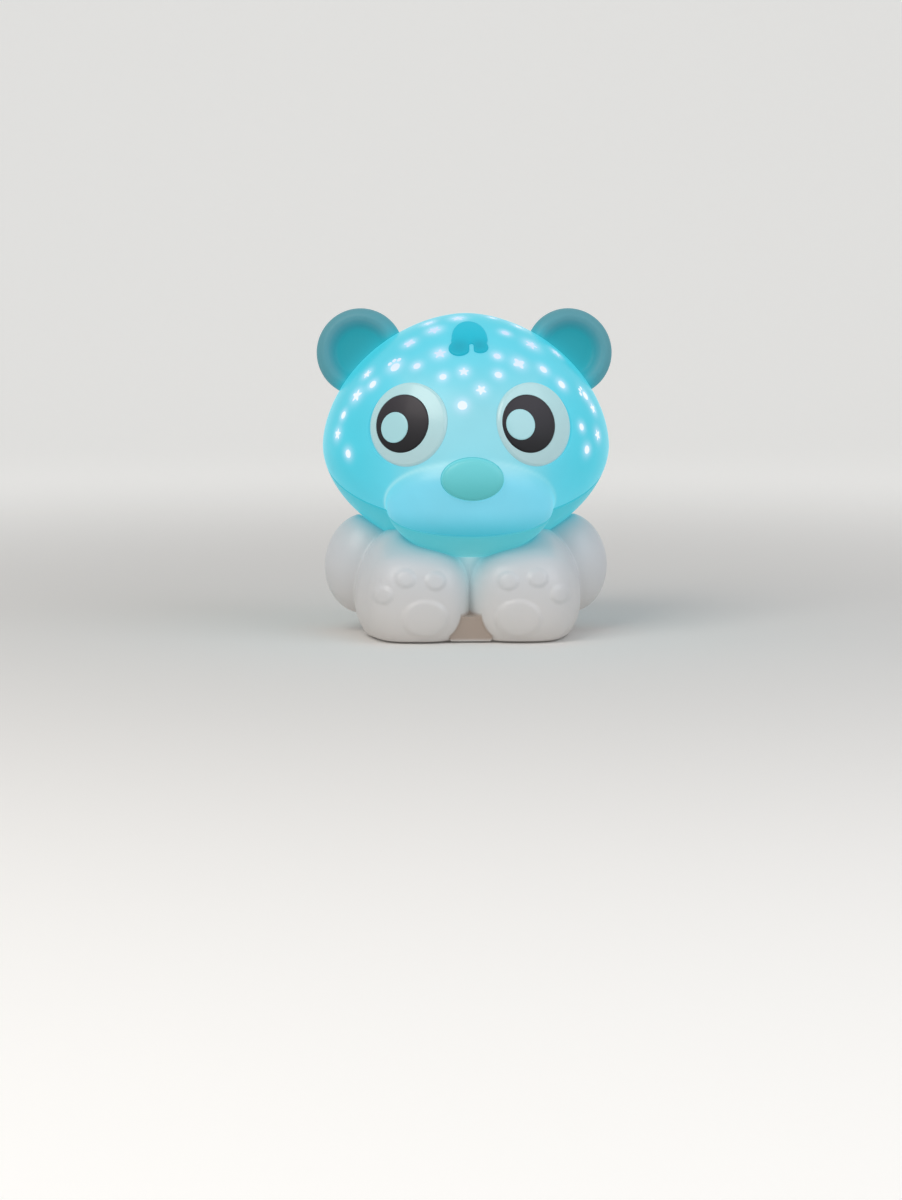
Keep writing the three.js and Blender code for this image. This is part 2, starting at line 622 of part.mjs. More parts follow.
// Raised paw prints on the soles: one broad pad below and three toes that fan up and outwards
function pawPrints() {
  const toeShares = [
    [-0.44, 1.95],
    [0.83, 2.09],
    [1.8, 1.23],
  ];
  const prints = Object.values(sides).map((side) => {
    const oval = (x, z, width, height) => {
      const shape = ringShape(9, (turn) => [width * Math.cos(turn), height * Math.sin(turn)]);
      return pushed(shape, 0, foot.halfDepth + OVERRUN).translate([x, z, 0]);
    };
    const padX = -side * paw.inward;
    const pads = toeShares.map(([aside, up]) => {
      const x = padX + side * aside * paw.halfWidth;
      return oval(x, -paw.below + up * paw.halfHeight, toe.halfWidth, toe.halfHeight);
    });
    pads.push(oval(padX, -paw.below, paw.halfWidth, paw.halfHeight));
    const raised = joined(pads).rotate([90, 0, 0]).intersect(footForm(paw.proud));
    return raised.translate([side * foot.x, foot.y, foot.z]);
  });
  return joined(prints);
}

// The base plate's outline inside the torso's wall, shrunk by an inset
function plateOutline(inset) {
  const halfHeight = torso.halfHeight - WALL;
  const share = (1 - ((torso.z - STAND) / halfHeight) ** torso.power) ** (1 / torso.power);
  const halfX = (torso.halfWidth - WALL) * share - inset;
  const halfY = (torso.halfDepth - WALL) * share - inset;
  return ringShape(22, (turn) => [
    halfX * bent(Math.cos(turn), 2 / torso.ringPower),
    torso.y + halfY * bent(Math.sin(turn), 2 / torso.ringPower),
  ]);
}

const caseScrewPlaces = [
  [-caseScrew.frontX, caseScrew.frontY],
  [caseScrew.frontX, caseScrew.frontY],
  [-caseScrew.backX, caseScrew.backY],
  [caseScrew.backX, caseScrew.backY],
];
const padPlaces = [
  [-pad.frontX, pad.frontY],
  [pad.frontX, pad.frontY],
  [-pad.backX, pad.backY],
  [pad.backX, pad.backY],
];
const padTop = STAND + pad.sink - GAP;

// Screw bosses of the body: four over the base plate with a rib to the side wall, three under the head
function bodyBosses() {
  const bottom = FLOOR_TOP + GAP;
  const top = bottom + caseScrew.bossHeight;
  const low = caseScrewPlaces.map(([x, y]) => {
    const outward = Math.sign(x) * (torso.halfWidth + arm.halfWidth);
    const along = [Math.min(x, outward), Math.max(x, outward)];
    const rib = block(along, [y - caseScrew.rib / 2, y + caseScrew.rib / 2], [bottom, top]);
    return rod(screw.boss, bottom, top, 12).translate([x, y, 0]).add(rib);
  });
  const boss = rod(screw.boss, headScrew.bottomZ, headScrew.topZ, 12);
  const high = headScrewPlaces.map(([x, y]) => boss.translate([x, y, 0]));
  const inside = torsoForm(-WALL / 2).add(limbForms(-WALL / 2));
  return joined([...low, ...high]).intersect(inside).subtract(headForm(GAP));
}

function bodyShell() {
  const hollowLimbs = limbForms(-WALL).intersect(block([-FAR, FAR], [-FAR, FAR], [STAND + WALL, FAR]));
  const hollow = torsoForm(-WALL).add(hollowLimbs).subtract(headForm(GAP + WALL));
  const across = [-bridge.halfWidth, bridge.halfWidth];
  const between = block(across, [bridge.frontY, torso.y], [0, STAND + bridge.height]);
  const outside = torsoForm(0).add(limbForms(0)).add(pawPrints()).add(between).subtract(headForm(GAP));
  const standing = outside.intersect(block([-FAR, FAR], [-FAR, FAR], [STAND, FAR]));
  let shell = standing.subtract(hollow).add(bodyBosses());
  shell = shell.subtract(pushed(plateOutline(0), 0, FLOOR_TOP + GAP));
  shell = shell.subtract(rod(neck.radius + GAP, 0, head.centreZ, 18)).subtract(leadHole());
  const pilot = rod(screw.shaft + GAP, 0, FLOOR_TOP + caseScrew.bossHeight - WALL, 10);
  const passage = rod(screw.shaft + 2 * GAP, 0, headScrew.topZ, 10);
  const seat = rod(pad.radius + GAP, 0, STAND + pad.sink, 16);
  const low = caseScrewPlaces.map(([x, y]) => pilot.translate([x, y, 0]));
  const high = headScrewPlaces.map(([x, y]) => passage.translate([x, y, 0]));
  const seats = padPlaces.map(([x, y]) => seat.translate([x, y, 0]));
  return shell.subtract(joined([...low, ...high, ...seats]));
}

const frontHalf = () => block([-FAR, FAR], [-FAR, splitY - GAP / 2], [0, FAR]);
const backHalf = () => block([-FAR, FAR], [splitY + GAP / 2, FAR], [0, FAR]);

// Battery bay: the cells lie side by side along X
const bayHalfX = (cell.length + cell.nubHeight + bay.spring + bay.contact) / 2 + 1.5 * GAP;
const bayHalfY = (cell.pitch * cell.count) / 2;
const cellZ = STAND + door.thick + 2 * GAP + cell.radius;
const bayTop = cellZ + cell.radius + GAP;
const doorHalfX = bayHalfX + door.ledge;
const doorHalfY = bayHalfY + door.ledge;
const hingeX = -(doorHalfX + door.arm);
const hingeZ = STAND + plate.thick / 2;
const doorScrewX = doorHalfX + tongue.length / 2;
const cellY = (i) => bay.y + (i - (cell.count - 1) / 2) * cell.pitch;
const cellFacing = (i) => (i % 2 ? -1 : 1); // which way its nub points
const knuckleYs = [-1, 1].map((side) => bay.y + side * knuckle.apart);

function doorForm(extra, bottom, top) {
  const halfX = doorHalfX + extra;
  const halfY = doorHalfY + extra;
  const half = tongue.halfWidth + extra;
  const panel = block([-halfX, halfX], [bay.y - halfY, bay.y + halfY], [bottom, top]);
  return panel.add(block([0, halfX + tongue.length], [bay.y - half, bay.y + half], [bottom, top]));
}

const lengthwiseRod = (radius, y0, y1, steps) => rod(radius, y0, y1, steps).rotate([-90, 0, 0]);

function basePlate() {
  const walls = block(
    [-bayHalfX - bay.wall, bayHalfX + bay.wall],
    [bay.y - bayHalfY - bay.wall, bay.y + bayHalfY + bay.wall],
    [STAND, bayTop + bay.wall],
  );
  const cavity = block([-bayHalfX, bayHalfX], [bay.y - bayHalfY, bay.y + bayHalfY], [0, bayTop]);
  let base = pushed(plateOutline(GAP), STAND, FLOOR_TOP).add(walls).subtract(cavity);
  const pocketTop = STAND + door.thick + GAP;
  const alongHinge = [bay.y - doorHalfY - GAP, bay.y + doorHalfY + GAP];
  const hingeSide = block([-doorHalfX - door.swing, 0], alongHinge, [0, pocketTop]);
  base = base.subtract(doorForm(GAP, 0, pocketTop)).subtract(hingeSide);
  for (const y of knuckleYs) {
    const half = knuckle.length / 2 + GAP;
    const reach = plate.thick / 2 + RUN;
    base = base.subtract(block([hingeX - reach, -doorHalfX], [y - half, y + half], [0, FLOOR_TOP + OVERRUN]));
    const pinReach = half + knuckle.pinLength;
    const pinHole = lengthwiseRod(knuckle.pin + GAP, y - pinReach, y + pinReach, 10);
    base = base.subtract(pinHole.translate([hingeX, 0, hingeZ]));
  }
  const ribs = [0, 1].map((i) => {
    const y = cellY(i) + cell.pitch / 2;
    const across = [y - bay.rib / 2, y + bay.rib / 2];
    return block([-cell.length / 4, cell.length / 4], across, [bayTop - bay.ribHeight, bayTop + GAP]);
  });
  const screwBoss = rod(screw.boss, FLOOR_TOP - plate.thick / 4, bayTop, 12).translate([doorScrewX, bay.y, 0]);
  base = base.add(joined([...ribs, screwBoss]));
  for (const side of [-1, 1]) {
    for (const up of [-1, 1]) {
      const x = (side * mainBoard.width) / 2 - side * mainBoard.inset;
      const y = bay.y + (up * mainBoard.depth) / 2 - up * mainBoard.inset;
      const seatTop = bayTop + bay.wall + mainBoard.seatHeight;
      const seat = rod(mainBoard.seat, bayTop + bay.wall / 2, seatTop, 10);
      base = base.add(seat.add(rod(mainBoard.peg, bayTop, seatTop + board, 8)).translate([x, y, 0]));
    }
  }
  const doorPilot = rod(screw.shaft + GAP + RUN / 2, 0, bayTop - WALL, 10).translate([doorScrewX, bay.y, 0]);
  const cuts = [doorPilot, ...bayTabSlots()];
  for (const [x, y] of caseScrewPlaces) {
    cuts.push(rod(screw.shaft + 2 * GAP, 0, FLOOR_TOP + OVERRUN, 10).translate([x, y, 0]));
    cuts.push(rod(screw.head + GAP, 0, STAND + screw.headHeight, 16).translate([x, y, 0]));
  }
  const padSeat = rod(pad.radius + GAP, 0, STAND + pad.sink, 16);
  for (const [x, y] of padPlaces) cuts.push(padSeat.translate([x, y, 0]));
  const slotHalf = (slider.length + slider.travel) / 2 + RUN;
  const sliderHalf = slider.width / 2 + RUN;
  const slotY = [slider.y - sliderHalf, slider.y + sliderHalf];
  cuts.push(block([-slotHalf, slotHalf], slotY, [0, FLOOR_TOP + OVERRUN]));
  return base.subtract(joined(cuts));
}

// A contact's solder tab leaves the bay through a slot in its end wall
function contactAt(i, extra) {
  const facing = cellFacing(i);
  const near = bayHalfX - GAP - bay.contact;
  const far = bayHalfX - GAP;
  const halfWide = cell.radius * bladeShares.wide;
  const halfHigh = cell.radius * bladeShares.high;
  const blade = block([near, far], [-halfWide, halfWide], [-halfHigh, halfHigh]);
  const half = bay.tab / 2 + extra;
  const along = [near - extra, bayHalfX + bay.wall + bay.tab / 2];
  const tab = block(along, [-half, half], [-bay.contact - extra, extra]);
  const whole = extra ? tab : blade.add(tab);
  return whole.rotate([0, 0, facing > 0 ? 0 : 180]).translate([0, cellY(i), cellZ]);
}

const bayTabSlots = () => Array.from({ length: cell.count }, (_, i) => contactAt(i, GAP));

function batteryCell(i) {
  const facing = cellFacing(i);
  const tip = bayHalfX - 2 * GAP - bay.contact;
  const shoulder = tip - cell.nubHeight;
  const tail = shoulder - cell.length;
  const edge = cell.nubHeight / 2;
  const profile = [
    [0, tail],
    [cell.radius, tail],
    [cell.radius, shoulder - edge],
    [cell.radius - edge, shoulder],
    [cell.nub, shoulder],
    [cell.nub, tip],
    [0, tip],
  ];
  return turned(profile, 12).rotate([0, 90 * facing, 0]).translate([0, cellY(i), cellZ]);
}

function batterySpring(i) {
  const facing = cellFacing(i);
  const wall = -(bayHalfX - GAP);
  const tail = bayHalfX - 2 * GAP - bay.contact - cell.nubHeight - cell.length;
  const spring = coilSpring("battery spring", coil.wide, coil.narrow, wall, tail - GAP, coil.turns);
  return spring.rotate([0, 90 * facing, 0]).translate([0, cellY(i), cellZ]);
}

// Battery door: a plate with two knuckles on stub pins and a tongue that the screw holds
function batteryDoor() {
  let plateForm = doorForm(0, STAND, STAND + door.thick);
  for (const y of knuckleYs) {
    const half = knuckle.length / 2;
    const pin = half + knuckle.pinLength - GAP;
    const reach = block([hingeX, -doorHalfX + GAP], [y - half, y + half], [STAND, STAND + door.thick]);
    const barrel = lengthwiseRod(plate.thick / 2, y - half, y + half, 14);
    const hinge = barrel.add(lengthwiseRod(knuckle.pin, y - pin, y + pin, 10));
    plateForm = plateForm.add(reach).add(hinge.translate([hingeX, 0, hingeZ]));
  }
  return plateForm.subtract(screwHole(doorScrewX, bay.y));
}

function screwHole(x, y) {
  const seat = rod(screw.head + GAP, 0, STAND + door.thick / 2, 14);
  return rod(screw.shaft + GAP, 0, FAR, 10).add(seat).translate([x, y, 0]);
}

// A screw driven upwards, its head's underside at z, with a cross slot in the head
function screwAt(x, y, z, length, headHeight = screw.headHeight) {
  const slot = screw.head * screwSlotShare;
  const width = slot / 4;
  const deep = z + headHeight / 2;
  const body = rod(screw.head, z, z + headHeight, 10).add(rod(screw.shaft, z, z + headHeight + length, 6));
  const cut = [z - OVERRUN, deep];
  const cross = block([-slot, slot], [-width, width], cut).add(block([-width, width], [-slot, slot], cut));
  return body.subtract(cross).translate([x, y, 0]);
}

// Power switch: a slider in a slot of the base plate, with its shoe in a small can above
function powerSlider() {
  const restX = -slider.travel / 2;
  const half = slider.length / 2;
  const halfY = slider.width / 2;
  const stem = block([-half, half], [-halfY, halfY], [STAND + GAP, FLOOR_TOP + GAP + slider.shoeHeight]);
  const shoeX = half + slider.shoe;
  const shoeY = halfY + slider.shoe;
  const shoeZ = FLOOR_TOP + GAP;
  const shoe = block([-shoeX, shoeX], [-shoeY, shoeY], [shoeZ, shoeZ + slider.shoeHeight]);
  const groove = slider.length / 10;
  const grooves = [-3, -1, 1, 3].map((i) =>
    block([i * groove - groove / 2, i * groove + groove / 2], [-FAR, FAR], [0, STAND + 2 * GAP]),
  );
  return stem.add(shoe).subtract(joined(grooves)).translate([restX, slider.y, 0]);
}

function powerSwitch() {
  const insideX = (slider.length + slider.travel) / 2 + slider.shoe + RUN;
  const insideY = slider.width / 2 + slider.shoe + RUN;
  const bottom = FLOOR_TOP + GAP;
  const insideZ = bottom + slider.shoeHeight + RUN;
  const outsideX = insideX + slider.can;
  const outsideY = insideY + slider.can;
  const can = block([-outsideX, outsideX], [-outsideY, outsideY], [bottom, bottom + slider.canHeight]);
  const inside = block([-insideX, insideX], [-insideY, insideY], [0, insideZ]);
  return can.subtract(inside).translate([0, slider.y, 0]);
}

// Main board on its pegs, with a chip, a capacitor and a plug
const mainBoardZ = bayTop + bay.wall + mainBoard.seatHeight + GAP;

function mainBoardSolid() {
  const halfX = mainBoard.width / 2;
  const halfY = mainBoard.depth / 2;
  const top = mainBoardZ + board;
  let whole = block([-halfX, halfX], [-halfY, halfY], [mainBoardZ, top]);
  const chip = block([-halfX / 3, halfX / 6], [-halfY / 4, halfY / 4], [mainBoardZ, top + board]);
  const capacitor = rod(halfX / 6, mainBoardZ, top + 3 * board, 12).translate([halfX / 2, -halfY / 3, 0]);
  const plug = block([-halfX * plugShare, -halfX / 2], [-halfY / 3, halfY / 3], [mainBoardZ, top + 2 * board]);
  whole = whole.add(joined([chip, capacitor, plug]));
  for (const side of [-1, 1]) {
    for (const up of [-1, 1]) {
      const x = side * (halfX - mainBoard.inset);
      const y = up * (halfY - mainBoard.inset);
      whole = whole.subtract(rod(mainBoard.peg + GAP, 0, FAR, 8).translate([x, y, 0]));
    }
  }
  return whole.translate([0, bay.y, 0]);
}

// A sleeved lead through points
function leadThrough(points, steps) {
  return sweep(new THREE.CatmullRomCurve3(points.map((p) => new THREE.Vector3(...p))), lead, steps, 6);
}

function leads() {
  const top = mainBoardZ + board + GAP;
  const behind = nose.frontY - noseBoardZ + board + GAP;
  const rise = neck.bottomZ - top;
  const bayEnd = bayHalfX + bay.wall + bay.tab / 2 + GAP + lead;
  const boardEdge = mainBoard.width / 2 - mainBoard.inset;
  const solder = (facing, i) => [
    [facing * boardEdge * solderShare, cellY(i), top + lead],
    [facing * (bayEnd - lead), cellY(i), top + 2 * lead],
    [facing * (bayEnd + lead), cellY(i), (top + cellZ) / 2],
    [facing * bayEnd, cellY(i), cellZ - bay.contact],
  ];
  return {
    head_lead: leadThrough(
      [
        [0, bay.y, top + 2 * board],
        [0, bay.y / 2, top + 2 * board + rise / 2],
        [0, 0, neck.seatZ],
        [0, 0, (neck.seatZ + post.topZ) / 2],
        [0, 0, ledBoardZ - GAP],
      ],
      16,
    ),
    nose_lead: leadThrough(
      [
        [0, behind + lead, nose.z - noseBoard.halfHeight / 2],
        [0, behind + 4 * lead, (nose.z + neck.seatZ) / 2],
        [0, leadHoleY, neck.seatZ],
        [0, leadHoleY, neck.bottomZ],
        [0, leadHoleY / 2, top + 2 * lead],
      ],
      16,
    ),
    battery_lead_plus: leadThrough(solder(1, 2), 10),
    battery_lead_minus: leadThrough(solder(-1, 0), 10),
  };
}

// A mesh with its own finish, in the group that carries it
function part(group, name, shape, look) {
  const { vertProperties, triVerts } = shape.simplify(SMOOTHING).getMesh();
  const indexed = new THREE.BufferGeometry();
  indexed.setAttribute("position", new THREE.BufferAttribute(Float32Array.from(vertProperties), 3));
  indexed.setIndex(new THREE.BufferAttribute(Uint32Array.from(triVerts), 1));
  const geometry = indexed.toNonIndexed();
  geometry.computeVertexNormals();
  const mesh = new THREE.Mesh(geometry, new THREE.MeshStandardMaterial(look));
  mesh.name = name;
  group.add(mesh);
  return mesh;
}

// The whole bear
function bear() {
  const group = new THREE.Group();
  const headGroup = new THREE.Group();
  const bodyGroup = new THREE.Group();
  group.add(headGroup, bodyGroup);

  part(headGroup, "head_dome", headDome(), finish.dome);
  part(headGroup, "star_lens", starLens(), finish.lens);
  part(headGroup, "head_back", headBack(), finish.teal);
  part(headGroup, "hair_tuft", hairTuft(), finish.tuft);
  for (const [name, side] of Object.entries(sides)) {
    part(headGroup, "ear_" + name, earSolid(side), finish.ear);
    const irisSeat = put(domedDisc(iris.radius + GAP, irisBottom - GAP, OVERRUN, 0), gazeFrame(iris, name));
    const white = eyeWhite().subtract(irisSeat);
    const around = new THREE.Group();
    around.applyMatrix4(eyeFrame(side));
    headGroup.add(around);
    part(around, "eye_white_" + name, white, finish.eye);
    const glintSeat = put(domedDisc(glint.radius + GAP, glintBottom - GAP, OVERRUN, 0), gazeFrame(glint, name));
    part(around, "iris_" + name, put(irisDisc(), gazeFrame(iris, name)).subtract(glintSeat), finish.dark);
    part(around, "eye_glint_" + name, glintDisc(), finish.eye).applyMatrix4(gazeFrame(glint, name));
  }

  const noseGroup = new THREE.Group();
  noseGroup.applyMatrix4(noseFrame);
  headGroup.add(noseGroup);
  part(noseGroup, "nose_button", noseButton(), finish.nose);
  const springEnds = [noseBoardZ + GAP, flangeBackZ - GAP];
  const { springRadius } = nosePress;
  const noseSpring = coilSpring("nose spring", springRadius, springRadius, ...springEnds, noseCoilTurns);
  part(noseGroup, "nose_spring", noseSpring, finish.steel);
  part(noseGroup, "nose_switch", noseSwitch(), finish.dark);
  part(noseGroup, "nose_board", noseBoardSolid(), finish.board);
  for (const [name, side] of Object.entries(sides)) {
    const under = noseBoardZ - board - GAP - screw.headHeight;
    const length = board + GAP + noseBoard.screwDepth;
    part(noseGroup, "nose_screw_" + name, screwAt(side * noseBoardX, 0, under, length), finish.steel);
  }

  part(headGroup, "led_post", ledPost(), finish.white);
  const ledBoard = rod(lamp.board, ledBoardZ, ledBoardZ + board, 24);
  part(headGroup, "led_board", ledBoard, finish.board);
  part(headGroup, "rgb_led", rgbLed(), finish.lens);

  const shell = bodyShell();
  part(bodyGroup, "body_front", shell.intersect(frontHalf()), finish.white);
  part(bodyGroup, "body_back", shell.intersect(backHalf()), finish.white);
  part(bodyGroup, "base_plate", basePlate(), finish.white);
  part(bodyGroup, "battery_door", batteryDoor(), finish.white);
  const doorHead = door.thick / 2 - GAP;
  const doorScrewLength = bayTop - WALL - 2 * GAP - (STAND + doorHead);
  part(bodyGroup, "door_screw", screwAt(doorScrewX, bay.y, STAND, doorScrewLength, doorHead), finish.steel);
  part(bodyGroup, "power_slider", powerSlider(), finish.dark);
  part(bodyGroup, "power_switch", powerSwitch(), finish.steel);
  part(bodyGroup, "main_board", mainBoardSolid(), finish.board);
  for (let i = 0; i < cell.count; i++) {
    part(bodyGroup, "battery_" + (i + 1), batteryCell(i), finish.cell);
    part(bodyGroup, "battery_spring_" + (i + 1), batterySpring(i), finish.steel);
    part(bodyGroup, "battery_contact_" + (i + 1), contactAt(i, 0), finish.steel);
  }
  padPlaces.forEach(([x, y], i) => {
    const rubber = rod(pad.radius, 0, padTop, 16).translate([x, y, 0]);
    part(bodyGroup, "rubber_foot_" + (i + 1), rubber, finish.rubber);
  });
  caseScrewPlaces.forEach(([x, y], i) => {
    const driven = screwAt(x, y, STAND, caseScrew.bossHeight - WALL, screw.headHeight - GAP);
    part(bodyGroup, "case_screw_" + (i + 1), driven, finish.steel);
  });
  headScrewPlaces.forEach(([x, y], i) => {
    const under = headScrew.bottomZ - GAP - screw.headHeight;
    const length = headScrew.topZ - WALL - GAP - headScrew.bottomZ;
    part(bodyGroup, "head_screw_" + (i + 1), screwAt(x, y, under, length), finish.steel);
  });
  for (const [name, shape] of Object.entries(leads())) part(bodyGroup, name, shape, finish.wire);
  return group;
}

// The origin lies on the floor under the middle of the bear's box
const model = new THREE.Group();
model.add(bear());
const box = new THREE.Box3().setFromObject(model, true);
model.children[0].position.set(-(box.min.x + box.max.x) / 2, -(box.min.y + box.max.y) / 2, -box.min.z);
console.log("shifted by " + model.children[0].position.toArray().map((v) => v.toFixed(3)));

export default model;
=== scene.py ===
"""Bear night light: the look of a hard plastic bear that glows from inside.

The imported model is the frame. Smooth shells, eyes, ears, nose, tuft and body are made here from numpy
surfaces and stand for the faceted solids, and every other piece of the frame gets a procedural finish.
Lengths in the size classes are millimetres, and meshes are written in metres.
"""

from __future__ import annotations

import sys

import json
import logging
import math
from dataclasses import dataclass
from enum import Enum
from typing import Callable, Sequence

import bpy
import numpy as np
from mathutils import Matrix, Vector


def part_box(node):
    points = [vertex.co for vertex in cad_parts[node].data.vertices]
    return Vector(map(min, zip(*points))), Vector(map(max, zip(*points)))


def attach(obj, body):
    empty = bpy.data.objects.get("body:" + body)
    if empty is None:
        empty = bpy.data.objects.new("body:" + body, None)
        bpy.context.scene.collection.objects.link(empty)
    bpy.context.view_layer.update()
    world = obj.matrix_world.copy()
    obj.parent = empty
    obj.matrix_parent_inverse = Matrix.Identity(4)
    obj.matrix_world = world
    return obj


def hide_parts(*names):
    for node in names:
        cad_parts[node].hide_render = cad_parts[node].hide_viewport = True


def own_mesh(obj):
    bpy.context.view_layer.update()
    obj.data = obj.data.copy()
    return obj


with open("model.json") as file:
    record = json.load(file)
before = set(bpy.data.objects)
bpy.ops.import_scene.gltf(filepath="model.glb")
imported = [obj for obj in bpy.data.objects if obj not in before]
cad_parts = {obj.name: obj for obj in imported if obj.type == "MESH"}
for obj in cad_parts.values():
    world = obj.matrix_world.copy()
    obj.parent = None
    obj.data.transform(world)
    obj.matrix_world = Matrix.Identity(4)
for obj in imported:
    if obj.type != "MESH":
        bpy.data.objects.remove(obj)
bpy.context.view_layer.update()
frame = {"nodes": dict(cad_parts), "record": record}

log = logging.getLogger("bear")
MM = 0.001
FAR = 200.0  # past every surface of the bear, in millimetres
FULL_TURN = 2 * math.pi
SIDES = ((-1, "left"), (1, "right"))  # the viewer's left and right
Array = np.ndarray
Field = Callable[[Array], Array]
Place = Sequence[float]
Piece = bpy.types.Object
Socket = bpy.types.NodeSocket


# Sizes


@dataclass(frozen=True)
class Egg:
    """An egg-like solid: ring_power bends its ring seen from above, side_power its outline from the side."""

    half_width: float
    half_depth: float
    rise: float
    drop: float
    centre: tuple[float, float, float]
    ring_power: float = 2.0
    side_power: float = 2.0


@dataclass(frozen=True)
class HeadSizes:
    """The head's shells. The parting plane tilts up towards the back.

    Groove rings are distances from the parting plane, and they take the place of the rings within
    groove_band radians. The neck is (radius, low, high). Bosses are the seats of the eyes and the nose inside
    the shell.
    """

    skull: Egg = Egg(70.8, 62.0, 65.3, 54.0, (0.0, 0.0, 92.0), 2.0, 1.82)
    muzzle: Egg = Egg(40.5, 22.0, 29.5, 29.5, (0.0, -41.0, 67.0))
    muzzle_lean: float = 36.0
    muzzle_fillet: float = 2.4
    muzzle_soft: float = 6.0
    crease_width: float = 0.9
    wall: float = 2.2
    gap: float = 0.3
    parting_height: float = 82.0
    parting_tilt: float = 28.3
    groove_depth: float = 0.55
    groove_width: float = 0.5
    groove_rings: tuple[float, ...] = (0.15, 0.3, 0.5, 0.75, 1.1, 1.6)
    groove_band: float = 0.03
    columns: int = 400
    rows: int = 130
    longest_ray: float = 130.0
    boss_skin: float = 0.8
    boss_top: float = 3.0
    seat_top: float = 12.0
    neck: tuple[float, float, float] = (12.0, 20.0, 60.0)
    cutter_gap: float = 0.25


@dataclass(frozen=True)
class EyeSizes:
    """One eye: a pale disc, a dark iris set in it and a pale glint set in the iris, all on one large sphere.

    Both eyes look to the viewer's left. The iris and the glint have slid aside on the sphere by other
    amounts in the left eye than in the right one.
    """

    radius: float = 20.25
    apart: float = 31.5
    height: float = 105.7
    turn: float = 27.5
    rise: float = 12.0
    dome: float = 62.0
    thick: float = 2.6
    proud: float = 1.0
    bevel: float = 1.2
    iris_radius: float = 14.0
    iris_proud: float = 0.25
    iris_thick: float = 0.9
    iris_bevel: float = 0.5
    iris_play: float = 0.12
    iris_aside: tuple[float, float] = (-1.9, -4.4)
    glint_radius: float = 7.4
    glint_proud: float = 0.45
    glint_thick: float = 0.5
    glint_bevel: float = 0.35
    glint_play: float = 0.1
    glint_aside: tuple[float, float] = (-5.2, -9.3)
    glint_below: tuple[float, float] = (2.1, 0.4)
    seat_play: float = 0.1
    seat_top: float = 9.0


@dataclass(frozen=True)
class EarSizes:
    """One ear: a thick round disc with a dished face."""

    radius: float = 21.8
    dish: float = 13.5
    dish_depth: float = 4.5
    thick: float = 13.0
    apart: float = 52.8
    y: float = 8.0
    z: float = 138.6
    turn: float = 8.0
    rise: float = 8.0
    lit_reach: float = 4.0
    dish_edge: float = 2.0
    dish_soft: float = 4.5


@dataclass(frozen=True)
class NoseSizes:
    """The oval nose button, its collar, its running gap and the coil spring behind it."""

    half_width: float = 14.75
    half_height: float = 10.0
    z: float = 79.7
    front_y: float = -70.0
    crown: float = 3.2
    edge: float = 1.1
    run: float = 0.4
    flange: float = 2.0
    flange_thick: float = 1.4
    flange_gap: float = 0.3
    collar_depth: float = 10.5
    room_behind: float = 6.0
    coil_radius: float = 5.4
    coils: int = 4
    wire: float = 0.35


@dataclass(frozen=True)
class TuftSizes:
    """The hair tuft on the head: two lobes (x, y, radius) below an egg-shaped crown, with a notch between.

    The crown is (x, y, half width, rise, drop) and the notch (x, low y, high y, radius). Low and high are
    the corners of the space that holds it, from the head's axis.
    """

    lobes: tuple[tuple[float, float, float], ...] = ((-5.0, -1.9, 5.3), (4.6, -1.0, 4.4))
    crown: tuple[float, float, float, float, float] = (0.1, 4.6, 8.7, 16.0, 4.2)
    notch: tuple[float, float, float, float] = (0.8, -8.0, -0.2, 1.0)
    blend: float = 3.4
    notch_edge: float = 0.8
    proud: float = 1.2
    sunk: float = 0.6
    edge: float = 1.1
    rise: float = 54.0
    low: tuple[float, float, float] = (-14.0, -44.0, 134.0)
    high: tuple[float, float, float] = (14.0, -12.0, 160.0)
    step: float = 0.4
    quick_step: float = 0.6


@dataclass(frozen=True)
class BodySizes:
    """The seated body: torso, legs, sole-forward feet and arms, and the radii of the fillets between them.

    A toe share is its place from the pad's middle in shares of paw_half, and the bridge between the feet is
    (half width, front, top). Low and high are the corners of the space that holds the body, from the head's
    axis.
    """

    torso: Egg = Egg(47.0, 42.0, 38.0, 38.0, (0.0, 8.0, 27.0), 2.4, 3.0)
    leg: Egg = Egg(28.0, 32.0, 39.0, 26.0, (27.4, -18.0, 17.0))
    foot: Egg = Egg(25.2, 25.0, 26.0, 26.0, (0.0, 0.0, 0.0), 2.6, 2.8)
    foot_centre: tuple[float, float, float] = (25.4, -34.0, 20.5)
    arm: Egg = Egg(20.0, 18.0, 25.0, 25.0, (50.0, -2.0, 34.0))
    arm_lean: float = 7.0
    split_y: float = -3.0
    stand: float = 0.8
    gap: float = 0.3
    plate_thick: float = 3.2
    pocket_points: int = 96
    hollow_share: float = 0.9
    hollow_top: float = 34.0
    paw_proud: float = 0.9
    paw_half: tuple[float, float] = (11.3, 9.4)
    paw_inward: float = 3.1
    paw_below: float = 8.1
    toe_half: tuple[float, float] = (5.0, 4.4)
    toe_shares: tuple[tuple[float, float], ...] = ((-0.44, 1.95), (0.83, 2.09), (1.8, 1.23))
    paw_edge: float = 2.4
    paw_fillet: float = 1.0
    ankle_fillet: float = 7.0
    leg_fillet: float = 0.8
    hip_fillet: float = 3.0
    arm_fillet: float = 1.6
    bridge: tuple[float, float, float] = (10.0, -52.0, 12.8)
    bridge_fillet: float = 0.6
    sole_edge: float = 1.0
    neck_edge: float = 1.2
    lit_reach: float = 4.6
    throat: float = 6.0
    low: tuple[float, float, float] = (-74.5, -64.5, -2.5)
    high: tuple[float, float, float] = (74.5, 55.0, 63.0)
    step: float = 0.8
    quick_step: float = 1.6


class WindowKind(Enum):
    """The outlines of the head's windows, with the points in each. A paw is made of dots."""

    DOT = 28
    STAR = 60
    FLOWER = 56
    PAW = 0


DOT, STAR, FLOWER, PAW = WindowKind


